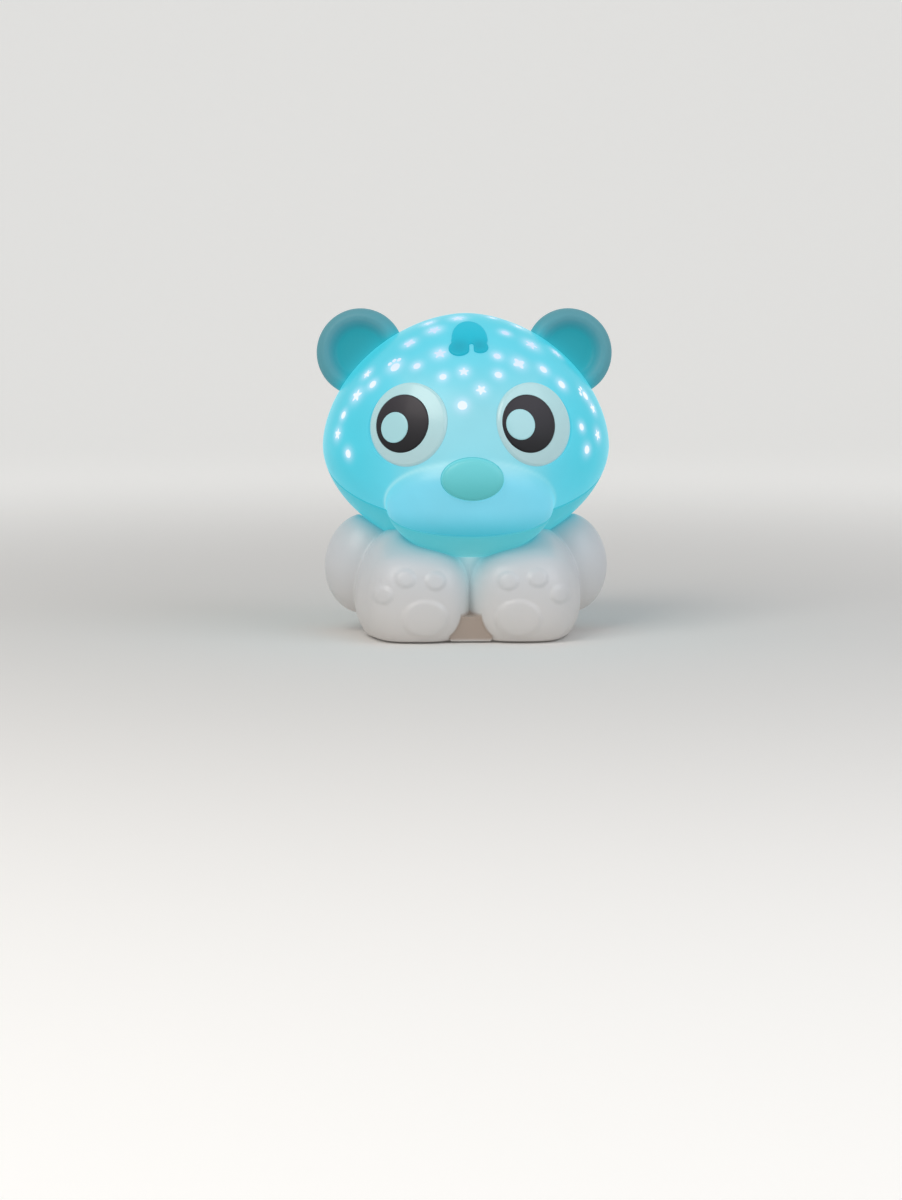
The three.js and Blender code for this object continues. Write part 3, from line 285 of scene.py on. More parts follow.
@dataclass(frozen=True)
class Window:
    """One window: its outline, where it lies seen from the head's centre, its size share and its spin."""

    kind: WindowKind
    azimuth: float
    elevation: float
    share: float
    spin: float = 0.0


@dataclass(frozen=True)
class WindowSizes:
    """Outline radii of a window of size share 1, its glow's reach, and the star lens with a pad in each.

    A paw is a pad, pad_below of its radius under the middle, and toes toe_turn degrees apart. Halo is the
    glow's reach round a dot and round any other window. The lens keeps what is above
    lens_low, and lens_edge above the parting plane.
    """

    dot: float = 2.1
    star: float = 3.4
    flower: float = 3.6
    pad: float = 2.6
    pad_below: float = 0.4
    toe: float = 1.3
    toe_spread: float = 3.9
    toe_turn: float = 40.0
    inset: float = 0.14
    flush: float = 0.12
    halo: tuple[float, float] = (3.3, 4.2)
    low: float = 35.0
    high: float = 100.0
    pad_root: float = 1.0
    lens_thick: float = 1.5
    lens_low: float = 96.0
    lens_half: float = 90.0
    lens_edge: float = 4.0
    lens_eye_room: float = 3.8


WINDOWS: tuple[Window, ...] = (
    Window(STAR, -19.5, 77.5, 1.0, 20),
    Window(STAR, -37, 64.5, 1.05),
    Window(FLOWER, -49, 53.5, 0.9, 20),
    Window(PAW, -47, 39.5, 1.0, 38),
    Window(STAR, -64, 33.5, 0.8, 30),
    Window(DOT, -55, 29, 1.0),
    Window(STAR, -62.5, 23, 1.05, 10),
    Window(DOT, -67, 14, 0.95),
    Window(STAR, -68, 6, 0.85),
    Window(DOT, -59.5, -1.5, 1.0),
    Window(STAR, -59, 70, 0.9, 10),
    Window(STAR, -20.5, 48.5, 0.95, 12),
    Window(DOT, -32.5, 40.5, 0.9),
    Window(DOT, -15.5, 35.5, 0.85),
    Window(STAR, -4, 38.5, 0.75),
    Window(DOT, -4.5, 21.5, 1.1),
    Window(DOT, 59.5, 77, 0.9),
    Window(DOT, 37, 62, 0.95),
    Window(STAR, 70.5, 65.5, 0.9, 20),
    Window(STAR, 51, 52, 1.05, 8),
    Window(DOT, 18, 47, 0.9),
    Window(FLOWER, 30.5, 42, 0.95, 15),
    Window(DOT, 15.5, 36.5, 0.9),
    Window(STAR, 5, 29, 0.8, 25),
    Window(DOT, 45, 37.5, 1.0),
    Window(STAR, 70.5, 45, 0.9),
    Window(DOT, 52, 29, 1.05),
    Window(PAW, 66.5, 23, 0.9, 40),
    Window(STAR, 69, 16.5, 0.85),
    Window(DOT, 55, 9.5, 0.85),
    Window(STAR, 66.5, 5.5, 0.85, 15),
    Window(DOT, 57, 0, 1.0),
    Window(STAR, 150, 58, 1.0),
    Window(DOT, 180, 45, 1.1),
    Window(STAR, -150, 58, 1.0, 30),
    Window(DOT, 128, 52, 1.0),
    Window(DOT, -128, 52, 1.0),
    Window(FLOWER, 180, 68, 0.9),
)


# Fields: signed distances, below zero inside


def power_sum(a: Array, b: Array, power: float) -> Array:
    """The length of (a, b) measured with a power: (a^power + b^power) to the power 1 / power.

    Args:
        a: the first lengths.
        b: the second lengths.
        power: the power.

    Returns:
        The joint lengths.
    """
    if power == 2.0:
        return np.sqrt(a * a + b * b)
    return (a**power + b**power) ** (1 / power)


def egg_field(points: Array, egg: Egg) -> Array:
    """Signed distance to an egg, measured along the ray from its centre.

    The egg is where ring^side_power + height^side_power = 1, with ring = (|x|^ring_power + |y|^ring_power)
    to the power 1 / ring_power, each in shares of the egg's half sizes.

    Args:
        points: places, one a row, in millimetres.
        egg: the egg.

    Returns:
        The distance of each place.
    """
    local = points - np.array(egg.centre)
    x = np.abs(local[:, 0]) / egg.half_width
    y = np.abs(local[:, 1]) / egg.half_depth
    z = np.abs(local[:, 2]) / np.where(local[:, 2] > 0, egg.rise, egg.drop)
    share = power_sum(power_sum(x, y, egg.ring_power), z, egg.side_power)
    return np.linalg.norm(local, axis=1) * (1 - 1 / np.maximum(share, 1e-4))


def blend_min(a: Array, b: Array, radius: float) -> Array:
    """Joins two fields with a fillet.

    Args:
        a: first field's distances.
        b: second field's distances.
        radius: how far the fillet reaches.

    Returns:
        The distances of the joined field.
    """
    h = np.clip(0.5 + 0.5 * (b - a) / radius, 0, 1)
    return b * (1 - h) + a * h - radius * h * (1 - h)


def blend_max(a: Array, b: Array, radius: float) -> Array:
    """Keeps what lies in both fields, with a rounded edge. Args and result as in blend_min."""
    return -blend_min(-a, -b, radius)


def turned_points(points: Array, centre: Place, degrees: float, axis: str) -> Array:
    """Places as seen by a solid that was turned about an axis through its centre.

    Args:
        points: places, one a row.
        centre: the solid's centre.
        degrees: the solid's turn.
        axis: "X", "Y" or "Z".

    Returns:
        The places turned back by that much.
    """
    turn = np.array(Matrix.Rotation(math.radians(degrees), 3, axis))
    return (points - np.array(centre)) @ turn + np.array(centre)


def gradient(shape: Field, points: Array, step: float = 0.02) -> Array:
    """Unit vectors along which a field grows, by central differences.

    Args:
        shape: the field.
        points: places, one a row.
        step: half the distance between the two samples on each axis.

    Returns:
        One unit vector a row.
    """
    shifts = np.eye(3) * step
    vectors = np.stack([shape(points + shift) - shape(points - shift) for shift in shifts], axis=1)
    return vectors / np.maximum(np.linalg.norm(vectors, axis=1, keepdims=True), 1e-9)


# Meshes


def linked(name: str, data: bpy.types.ID) -> Piece:
    """A new object that holds this data, linked to the scene.

    Args:
        name: its name.
        data: its mesh, lamp or camera.

    Returns:
        The object.
    """
    made = bpy.data.objects.new(name, data)
    bpy.context.scene.collection.objects.link(made)
    return made


def new_object(name: str, points: Array, faces: Sequence[Sequence[int]], flat: bool = False) -> Piece:
    """Makes a mesh object from places in millimetres.

    Args:
        name: the object's name.
        points: vertices, one a row, in the frame's millimetres.
        faces: vertex numbers of each face, counter-clockwise seen from outside.
        flat: whether faces are shaded flat.

    Returns:
        The object, linked to the scene.
    """
    mesh = bpy.data.meshes.new(name)
    mesh.from_pydata((np.asarray(points) * MM).tolist(), [], [list(f) for f in faces], shade_flat=flat)
    mesh.update()
    return linked(name, mesh)


def turns(count: int) -> Array:
    """Angles in radians that part a full turn into equal steps."""
    return np.arange(count) * FULL_TURN / count


def lathe_faces(rows: int, columns: int) -> list[list[int]]:
    """Faces of a closed surface of revolution whose first and last vertices are its poles.

    Args:
        rows: rings between the poles.
        columns: vertices in each ring.

    Returns:
        Quads between rings and triangles at the poles, facing out when rings run from the low pole up.
    """
    ring = np.arange(columns)
    after = (ring + 1) % columns
    start = 1 + np.arange(rows - 1)[:, None] * columns
    quads = np.stack([start + ring, start + after, start + columns + after, start + columns + ring], axis=2)
    last = 1 + (rows - 1) * columns
    low = np.stack([np.zeros(columns, int), 1 + after, 1 + ring], axis=1)
    high = np.stack([np.full(columns, rows * columns + 1), last + ring, last + after], axis=1)
    return quads.reshape(-1, 4).tolist() + low.tolist() + high.tolist()


def turned_solid(name: str, profile: Array, columns: int, squeeze: float = 1.0) -> Piece:
    """A solid of revolution round Z.

    A vertex lies at (r cos a, squeeze r sin a, z) for each profile pair (r, z) and each angle a.

    Args:
        name: the object's name.
        profile: (radius, height) pairs round the outside, from the low pole to the high one, on the axis.
        columns: vertices in each ring.
        squeeze: share by which the ring is narrowed along Y.

    Returns:
        The object, in its own frame.
    """
    angle = turns(columns)
    inner = profile[1:-1]
    x = inner[:, :1] * np.cos(angle)
    y = squeeze * inner[:, :1] * np.sin(angle)
    z = np.repeat(inner[:, 1:], columns, axis=1)
    rings = np.stack([x, y, z], axis=2).reshape(-1, 3)
    low, high = ([[0, 0, profile[end, 1]]] for end in (0, -1))
    return new_object(name, np.concatenate([low, rings, high]), lathe_faces(len(inner), columns))


def rod(name: str, radius: float, low: float, high: float, columns: int = 64, squeeze: float = 1.0) -> Piece:
    """A cylinder round Z between two heights, narrowed along Y by the squeeze, in its own frame."""
    profile = np.array([[0.0, low], [radius, low], [radius, high], [0.0, high]])
    return turned_solid(name, profile, columns, squeeze)


def smooth_line(points: Sequence[Place], per_span: int) -> Array:
    """A smooth line through points: a Catmull-Rom spline.

    Args:
        points: the points, one a row.
        per_span: samples in each span.

    Returns:
        The samples, with both ends kept.
    """
    p = np.array(points, float)
    p = np.concatenate([[2 * p[0] - p[1]], p, [2 * p[-1] - p[-2]]])
    t = np.linspace(0, 1, per_span, endpoint=False)[None, :, None]
    a, b, c, d = (p[i : len(p) - 3 + i, None, :] for i in range(4))
    squared, cubed = 2 * a - 5 * b + 4 * c - d, 3 * b - a - 3 * c + d
    line = 0.5 * (2 * b + (c - a) * t + squared * t**2 + cubed * t**3)
    return np.concatenate([line.reshape(-1, p.shape[1]), p[-2:-1]])


def aim(place: Place, azimuth: float, elevation: float) -> Matrix:
    """The frame at a place whose Z axis points out of the bear, with X to the viewer's right.

    Args:
        place: its origin in millimetres.
        azimuth: degrees to the viewer's right.
        elevation: degrees above the horizon.

    Returns:
        The frame as a matrix in millimetres.
    """
    across = Matrix.Rotation(math.radians(azimuth), 4, "Z")
    return Matrix.Translation(Vector(place)) @ across @ Matrix.Rotation(math.radians(90 - elevation), 4, "X")


def seen_from(matrix: Matrix, points: Array) -> Array:
    """Places, one a row, as seen from a frame."""
    back = np.array(matrix.inverted())
    return points @ back[:3, :3].T + back[:3, 3]


def placed(obj: Piece, matrix: Matrix) -> Piece:
    """Moves an object's mesh, leaving the object at the origin.

    Args:
        obj: the object.
        matrix: the move, in millimetres.

    Returns:
        The same object.
    """
    in_metres = matrix.copy()
    in_metres.translation = matrix.translation * MM
    obj.data.transform(in_metres)
    obj.data.update()
    return obj


class Cut(Enum):
    """What a boolean does with its second solid."""

    JOIN = "UNION"
    REMOVE = "DIFFERENCE"
    KEEP_SHARED = "INTERSECT"


def boolean(target: Piece, other: Piece, cut: Cut, keep: bool = False) -> Piece:
    """Joins, cuts or intersects two closed solids, leaving the result in the first.

    Args:
        target: the solid that is changed.
        other: the second solid, which is deleted afterwards.
        cut: what is done.
        keep: whether the second solid is kept.

    Returns:
        The changed object.
    """
    modifier = target.modifiers.new("cut", "BOOLEAN")
    modifier.operation = cut.value
    modifier.solver = "MANIFOLD"
    modifier.object = other
    bpy.context.view_layer.update()
    evaluated = target.evaluated_get(bpy.context.evaluated_depsgraph_get())
    mesh = bpy.data.meshes.new_from_object(evaluated)
    old = target.data
    target.modifiers.clear()
    target.data = mesh
    bpy.data.meshes.remove(old)
    if not keep:
        delete(other)
    if len(mesh.polygons) == 0:
        raise RuntimeError(f"nothing is left of {target.name}")
    return target


def delete(obj: Piece) -> None:
    """Deletes an object and its mesh.

    Args:
        obj: the object.
    """
    mesh = obj.data
    bpy.data.objects.remove(obj)
    bpy.data.meshes.remove(mesh)


def block(name: str, low: Place, high: Place) -> Piece:
    """A box.

    Args:
        name: the object's name.
        low: lower corner in millimetres.
        high: upper corner in millimetres.

    Returns:
        The object.
    """
    x, y, z = zip(low, high)
    points = np.array([[a, b, c] for c in z for b in y for a in x], float)
    faces = [[0, 2, 3, 1], [4, 5, 7, 6], [0, 1, 5, 4], [1, 3, 7, 5], [3, 2, 6, 7], [2, 0, 4, 6]]
    return new_object(name, points, faces, flat=True)


def prism(name: str, outline: Array, low: float, high: float) -> Piece:
    """A closed outline pushed along Z.

    Args:
        name: the object's name.
        outline: (x, y) pairs, counter-clockwise.
        low: lower height.
        high: upper height.

    Returns:
        The object, in its own frame.
    """
    count = len(outline)
    ring = np.arange(count)
    after = (ring + 1) % count
    points = np.concatenate([np.column_stack([outline, np.full(count, h)]) for h in (low, high)])
    sides = np.stack([ring, after, count + after, count + ring], axis=1).tolist()
    return new_object(name, points, [ring[::-1].tolist(), (count + ring).tolist(), *sides], flat=True)


def merged(name: str, objects: Sequence[Piece]) -> Piece:
    """Puts separate meshes into one object and deletes the originals.

    Args:
        name: the new object's name.
        objects: the meshes, which don't touch each other.

    Returns:
        The object.
    """
    points, faces, count = [], [], 0
    for obj in objects:
        points.append(places_of(obj))
        faces += [[count + i for i in polygon.vertices] for polygon in obj.data.polygons]
        count += len(obj.data.vertices)
        delete(obj)
    return new_object(name, np.concatenate(points), faces)


def surface_net(shape: Field, low: Place, high: Place, step: float) -> tuple[Array, Array]:
    """The surface where a field is zero, as quads: one vertex in each grid cell that the surface crosses.

    The vertex starts at the mean of the points where the surface crosses the cell's edges, and is then
    moved along the field's gradient onto the surface.

    Args:
        shape: the field.
        low: lower corner of the grid.
        high: upper corner of the grid.
        step: the grid's pitch.

    Returns:
        The vertices and the quads, facing out.
    """
    values = grid_values(shape, low, high, step)
    cells = [n - 1 for n in values.shape]
    total, crossings = np.zeros([*cells, 3]), np.zeros(cells)
    for axis in range(3):
        others = [a for a in range(3) if a != axis]
        for offset in ((0, 0), (0, 1), (1, 0), (1, 1)):
            start = [slice(None, -1)] * 3
            place = np.zeros(total.shape)
            for other, shift in zip(others, offset):
                start[other] = slice(1, None) if shift else slice(None, -1)
                place[..., other] = shift
            a, b = edge_ends(values, start, axis)
            crosses = (a < 0) != (b < 0)
            place[..., axis] = a / np.where(crosses, a - b, 1)
            total += place * crosses[..., None]
            crossings += crosses
    active = crossings > 0
    number = np.full(active.shape, -1)
    number[active] = np.arange(active.sum())
    corner = np.stack(np.nonzero(active), axis=1)
    vertices = (corner + total[active] / crossings[active][:, None]) * step + np.array(low)
    quads = []
    for axis, (u, v) in enumerate(((1, 2), (2, 0), (0, 1))):
        a, b = edge_ends(values, [slice(1, -1)] * 3, axis)
        for inside_first in (True, False):
            found = (a < 0) & (b >= 0) if inside_first else (a >= 0) & (b < 0)
            cell = np.stack(np.nonzero(found), axis=1)
            around = []
            for du, dv in ((0, 0), (1, 0), (1, 1), (0, 1)):
                near = cell.copy()
                near[:, u] += du
                near[:, v] += dv
                around.append(number[tuple(near.T)])
            quads.append(np.stack(around if inside_first else around[::-1], axis=1))
    for _ in range(4):
        distance = np.clip(shape(vertices), -step / 2, step / 2)
        vertices = vertices - gradient(shape, vertices) * distance[:, None]
    return vertices, np.concatenate(quads)


def grid_values(shape: Field, low: Place, high: Place, step: float, at_once: int = 200000) -> Array:
    """A field's values on a grid.

    Args:
        shape: the field.
        low: lower corner of the grid.
        high: upper corner of the grid.
        step: the grid's pitch.
        at_once: how many places the field is worked out for at once, about.

    Returns:
        The values, with an axis each for x, y and z.
    """
    axes = [np.arange(a, b + step, step) for a, b in zip(low, high)]
    grid = np.stack(np.meshgrid(*axes, indexing="ij"), axis=3).reshape(-1, 3)
    parts = np.array_split(grid, max(1, len(grid) // at_once))
    return np.concatenate([shape(part) for part in parts]).reshape([len(a) for a in axes])


def edge_ends(values: Array, start: list[slice], axis: int) -> tuple[Array, Array]:
    """The values at both ends of the grid's edges along an axis.

    Args:
        values: the grid's values.
        start: the slices that choose the edges on the other two axes.
        axis: the edges' axis.

    Returns:
        The values at the low ends and at the high ends.
    """
    first, second = list(start), list(start)
    first[axis], second[axis] = slice(None, -1), slice(1, None)
    return values[tuple(first)], values[tuple(second)]


def read(elements: bpy.types.bpy_prop_collection, name: str, width: int = 1, kind: type = float) -> Array:
    """Reads one property of each element of a mesh.

    Args:
        elements: the mesh's elements.
        name: the property.
        width: how many numbers it has.
        kind: their type.

    Returns:
        The numbers, a row for each element where there are several.
    """
    values = np.empty(len(elements) * width, kind)
    elements.foreach_get(name, values)
    return values.reshape(-1, width) if width > 1 else values


def places_of(obj: Piece) -> Array:
    """An object's vertices in millimetres, one a row."""
    return read(obj.data.vertices, "co", 3) / MM


def paint(obj: Piece, name: str, values: Array) -> None:
    """Writes one share from 0 to 1 for each vertex, which the finishes read as an attribute."""
    attribute = obj.data.attributes.new(name, "FLOAT", "POINT")
    attribute.data.foreach_set("value", np.clip(values, 0, 1).astype(np.float32))


def true_normals(obj: Piece, shape: Field, reach: float = 0.06, agreement: float = 0.75) -> None:
    """Shades an object's outer surface by its field, so that cuts don't spoil it, and its other faces flat.

    Args:
        obj: the object.
        shape: the field whose zero surface is the outer surface.
        reach: how far from that surface a vertex may lie.
        agreement: the least cosine between the field's normal and the face's.
    """
    mesh = obj.data
    vertex = read(mesh.loops, "vertex_index", kind=np.int32)
    corners = read(mesh.polygons, "loop_total", kind=np.int32)
    of_face = np.repeat(read(mesh.polygons, "normal", 3), corners, axis=0)
    places = places_of(obj)
    outward = gradient(shape, places)[vertex]
    near = (np.abs(shape(places)) < reach)[vertex]
    agrees = (outward * of_face).sum(axis=1) > agreement
    mesh.shade_smooth()
    mesh.normals_split_custom_set(np.where((near & agrees)[:, None], outward, of_face).tolist())
    mesh.update()


def shade_by_angle(obj: Piece, degrees: float) -> None:
    """Shades an object smooth but for edges sharper than an angle.

    Args:
        obj: the object.
        degrees: the largest angle that is shaded smooth.
    """
    obj.data.shade_smooth()
    obj.data.set_sharp_from_angle(angle=math.radians(degrees))
    obj.data.update()


# Finishes


def linear(hex_colour: str) -> tuple[float, float, float, float]:
    """A colour such as "#7fd4e6" as linear red, green, blue and alpha, by the sRGB standard's curve.

    Args:
        hex_colour: the colour.

    Returns:
        Red, green, blue and alpha.
    """
    values = np.array([int(hex_colour[i : i + 2], 16) / 255 for i in (1, 3, 5)])
    high = ((values + 0.055) / 1.055) ** 2.4
    return (*np.where(values <= 0.04045, values / 12.92, high).tolist(), 1.0)


class Nodes:
    """A material or a world and the nodes added to it."""

    def __init__(self, name: str, world: bool = False) -> None:
        """Starts a material or a world that holds only its output.

        Args:
            name: the material's or the world's name.
            world: whether it is a world.
        """
        self.material = (bpy.data.worlds if world else bpy.data.materials).new(name)
        self.material.use_nodes = True
        self.tree = self.material.node_tree
        self.tree.nodes.clear()
        self.output = self.add("OutputWorld" if world else "OutputMaterial")

    def add(self, kind: str, inputs: dict | None = None, **settings: object) -> bpy.types.Node:
        """Adds a node.

        Args:
            kind: the node's type, without its "ShaderNode" beginning.
            inputs: input name or number to a value or to another node's output.
            settings: the node's own properties.

        Returns:
            The node.
        """
        node = self.tree.nodes.new("ShaderNode" + kind)
        for key, value in settings.items():
            setattr(node, key, value)
        for key, value in (inputs or {}).items():
            if isinstance(value, Socket):
                self.tree.links.new(value, node.inputs[key])
            else:
                node.inputs[key].default_value = value
        return node

    def math(self, operation: str, a: object, b: object = 0.0) -> Socket:
        """The result of a math node on two values."""
        return self.add("Math", {0: a, 1: b}, operation=operation).outputs[0]

    def times(self, a: object, b: object) -> Socket:
        """A product."""
        return self.math("MULTIPLY", a, b)

    def larger(self, a: object, b: object) -> Socket:
        """The larger of two values."""
        return self.math("MAXIMUM", a, b)

    def uneven(self, millimetres: float, height: float, middle: float) -> Socket:
        """A number that drifts by up to half the height round the middle, over patches of a real size."""
        drift = self.times(self.math("SUBTRACT", self.noise(millimetres), 0.5), height)
        return self.math("ADD", drift, middle)

    def ramp(self, share: Socket, *stops: str) -> Socket:
        """A colour ramp through evenly spread hex colours.

        Args:
            share: the way along the ramp, from 0 to 1.
            stops: the colours, from its start to its end.

        Returns:
            The colour.
        """
        node = self.add("ValToRGB", {"Fac": share})
        elements = node.color_ramp.elements
        while len(elements) < len(stops):
            elements.new(0.5)
        for i, (element, colour) in enumerate(zip(elements, stops)):
            element.position = i / (len(stops) - 1)
            element.color = linear(colour)
        return node.outputs["Color"]

    def mix(self, share: object, first: object, second: object) -> Socket:
        """Two colours mixed by a share of the second."""
        return self.add("MixRGB", {"Fac": share, "Color1": first, "Color2": second}).outputs[0]

    def scaled(self, colour: Socket, share: object) -> Socket:
        """A colour times a number."""
        return self.add("VectorMath", {0: colour, "Scale": share}, operation="SCALE").outputs[0]

    def attribute(self, name: str) -> Socket:
        """A float attribute of the mesh, 0 where it has none."""
        return self.add("Attribute", attribute_name=name).outputs["Fac"]

    def seen(self) -> Socket:
        """1 where the camera, a reflection or glass looks at the surface, and 0 where it lights something.

        Returns:
            The 1 or 0.
        """
        path = self.add("LightPath").outputs
        passed_on = self.larger(path["Is Glossy Ray"], path["Is Transmission Ray"])
        return self.larger(path["Is Camera Ray"], passed_on)

    def place(self) -> tuple[Socket, ...]:
        """The X, Y and Z of the object's own coordinates, in metres, and the vector itself."""
        vector = self.add("TexCoord").outputs["Object"]
        return (*self.add("SeparateXYZ", {0: vector}).outputs, vector)

    def share(self, value: Socket, ends: tuple[float, float]) -> Socket:
        """Maps the way between two ends to 0..1 and stops there."""
        inputs = {"Value": value, "From Min": ends[0], "From Max": ends[1]}
        return self.add("MapRange", inputs, clamp=True, interpolation_type="SMOOTHSTEP").outputs[0]

    def noise(self, millimetres: float) -> Socket:
        """Noise of a real size on the object's coordinates."""
        inputs = {"Vector": self.place()[3], "Scale": 1 / (millimetres * MM), "Detail": 2.0}
        return self.add("TexNoise", inputs).outputs[0]

    def finish(self, inputs: dict, grain: float = 1.0, height: float = 0.0) -> bpy.types.Material:
        """Closes the material with one principled shader.

        Args:
            inputs: the shader's inputs.
            grain: size of the moulding texture in millimetres.
            height: the texture's height in millimetres, with none at 0.

        Returns:
            The material.
        """
        shader = self.add("BsdfPrincipled", inputs)
        if height > 0:
            bump = self.add("Bump", {"Height": self.noise(grain), "Strength": 1.0, "Distance": height * MM})
            self.tree.links.new(bump.outputs[0], shader.inputs["Normal"])
        self.tree.links.new(shader.outputs[0], self.output.inputs[0])
        return self.material


@dataclass(frozen=True)
class GlowFinish:
    """Milky translucent ABS, injection moulded and lit from inside, with painted light over the head.

    The colour runs from the middle of the face to its side by the way aside, the way back and, to a lesser
    share, the way above. Each way is a pair of places in metres. The painted light is palest in the middle
    of the face, with a painted highlight on top of the muzzle, a painted bright crease round the muzzle and
    painted shade low on the face.
    """

    name: str = "ABS cyan milky, injection moulded, lit from inside"
    middle: str = "#92dbe9"
    between: str = "#62d5ea"
    side: str = "#47d0e5"
    # painted shade low on the face, towards the parting
    low: str = "#40bdd2"
    muzzle: str = "#7ad8f1"
    # painted highlight on top of the muzzle
    muzzle_top_highlight: str = "#b0e1ed"
    crease: str = "#b4edf5"
    halo: str = "#d3e6fb"
    way_aside: tuple[float, float] = (0.012, 0.066)
    way_back: tuple[float, float] = (-0.052, -0.008)
    way_above: tuple[float, float] = (0.108, 0.140)
    above_share: float = 0.45
    way_up_muzzle: tuple[float, float] = (0.078, 0.09)
    muzzle_share: float = 0.85
    way_low: tuple[float, float] = (0.066, 0.050)
    crease_share: float = 0.55
    halo_share: float = 0.7
    halo_lit: float = 0.12
    lit: float = 0.62
    patches: float = 22.0
    patch_height: float = 0.1
    grain: float = 1.4
    grain_height: float = 0.004
    base_share: float = 0.4

    def make(self) -> bpy.types.Material:
        """Builds the material, which reads the window_glow, muzzle and crease attributes of the mesh.

        Returns:
            The material.
        """
        nodes = Nodes(self.name)
        x, y, z, _ = nodes.place()
        aside = nodes.share(nodes.math("ABSOLUTE", x), self.way_aside)
        above = nodes.times(nodes.share(z, self.way_above), self.above_share)
        off = nodes.larger(nodes.larger(aside, nodes.share(y, self.way_back)), above)
        colour = nodes.ramp(off, self.middle, self.between, self.side)
        # a painted highlight on top of the muzzle
        on_muzzle = nodes.ramp(nodes.share(z, self.way_up_muzzle), self.muzzle, self.muzzle_top_highlight)
        colour = nodes.mix(nodes.times(nodes.attribute("muzzle"), self.muzzle_share), colour, on_muzzle)
        # painted shade low on the face, towards the parting
        colour = nodes.mix(nodes.share(z, self.way_low), colour, linear(self.low))
        crease = nodes.times(nodes.attribute("crease"), self.crease_share)
        colour = nodes.mix(crease, colour, linear(self.crease))
        halo = nodes.attribute("window_glow")
        colour = nodes.mix(nodes.times(halo, self.halo_share), colour, linear(self.halo))
        uneven = nodes.uneven(self.patches, self.patch_height, self.lit)
        inputs = {
            "Base Color": nodes.scaled(colour, self.base_share),
            "Roughness": 0.3,
            "Specular IOR Level": 0.3,
            "Coat Weight": 0.08,
            "Coat Roughness": 0.18,
            "Emission Color": colour,
            "Emission Strength": nodes.math("ADD", uneven, nodes.times(halo, self.halo_lit)),
        }
        return nodes.finish(inputs, self.grain, self.grain_height)


@dataclass(frozen=True)
class PlasticFinish:
    """Solid moulded plastic with a faint moulding texture and a slow change of tone from low to high.

    The tone changes over the rise, a pair of heights in metres. Part of its light can come through it from
    the lamp. Spots are (attribute, colour, lit share): where the mesh's attribute is 1, the plastic has
    that colour and light.
    """

    name: str
    low: str
    high: str
    rise: tuple[float, float] = (0.0, 0.16)
    roughness: float = 0.3
    coat: float = 0.3
    lit: float = 0.0
    spots: tuple[tuple[str, str, float], ...] = ()
    specular: float = 0.5
    grain: float = 0.9
    grain_height: float = 0.004
    metallic: float = 0.0
    patches: float = 9.0
    patch_height: float = 0.08

    def make(self) -> bpy.types.Material:
        """Builds the material, with its spots mixed in one after another.

        Returns:
            The material.
        """
        nodes = Nodes(self.name)
        colour = nodes.ramp(nodes.share(nodes.place()[2], self.rise), self.low, self.high)
        lit: object = self.lit
        for attribute, spot_colour, spot_lit in self.spots:
            share = nodes.attribute(attribute)
            colour = nodes.mix(share, colour, linear(spot_colour))
            lit = nodes.math("ADD", lit, nodes.times(share, spot_lit - self.lit))
        inputs = {
            "Base Color": nodes.scaled(colour, nodes.math("SUBTRACT", 1.0, lit)),
            "Roughness": nodes.uneven(self.patches, self.patch_height, self.roughness),
            "Specular IOR Level": self.specular,
            "Coat Weight": self.coat,
            "Coat Roughness": 0.12,
            "Metallic": self.metallic,
            "Emission Color": colour,
            "Emission Strength": lit,
        }
        return nodes.finish(inputs, self.grain, self.grain_height)


# White ABS, injection moulded, with painted light: a warm painted reflection low down, a little of the lamp's
# light painted all over, the head's light painted near the head and between the legs, and painted shade
# between the feet
WHITE_ABS = PlasticFinish(
    "ABS white, injection moulded, satin",
    "#d6d2ce",
    "#cdd0d3",
    rise=(0.0, 0.045),
    roughness=0.36,
    coat=0.0,
    lit=0.08,
    # the head's light painted near the head and on the throat, and painted shade between the feet
    spots=(("near_head", "#5abccb", 0.3), ("throat", "#b4d8de", 0.56), ("shade_between_feet", "#a39488", 0.2)),
    grain_height=0.0,
)
# Teal ABS of the lower head shell, lit from inside
TEAL_ABS = PlasticFinish(
    "ABS teal, injection moulded, lit from inside",
    "#66c5cc",
    "#3cc4d6",
    rise=(0.036, 0.07),
    roughness=0.33,
    coat=0.08,
    lit=0.62,
    specular=0.3,
)
# Clear polystyrene of the star lens, with the lamp behind it
CLEAR_LENS = PlasticFinish(
    "Polystyrene clear, injection moulded, lit from behind",
    "#ecf6ff",
    "#c3dcf6",
    rise=(0.118, 0.154),
    roughness=0.15,
    coat=0.2,
    lit=0.97,
)
# Sage-teal plastic of the ears, with the head's light painted where they meet the head
EAR_PLASTIC = PlasticFinish(
    "Polypropylene sage teal, injection moulded, satin",
    "#559aa6",
    "#5b9ba7",
    rise=(0.11, 0.16),
    roughness=0.48,
    coat=0.0,
    lit=0.3,
    spots=(("dish", "#209daa", 0.36), ("near_head", "#22b8ca", 0.6)),
    specular=0.3,
)
# Teal plastic of the tuft
TUFT_PLASTIC = PlasticFinish(
    "ABS deep teal, injection moulded, satin",
    "#16bad2",
    "#1cc0d9",
    rise=(0.135, 0.155),
    roughness=0.45,
    coat=0.0,
    lit=0.62,
    spots=(("lobe", "#1eabc3", 0.62),),
    specular=0.25,
)
# Mint plastic of the nose
NOSE_PLASTIC = PlasticFinish(
    "ABS mint, injection moulded, satin",
    "#52babd",
    "#6cd2d9",
    rise=(0.069, 0.088),
    roughness=0.42,
    coat=0.05,
    lit=0.48,
)
# Pale plastic of the eye discs
EYE_PLASTIC = PlasticFinish(
    "ABS pale blue-white, injection moulded, polished",
    "#b4d6da",
    "#b5e0e4",
    rise=(0.085, 0.125),
    roughness=0.25,
    coat=0.2,
    lit=0.28,
)
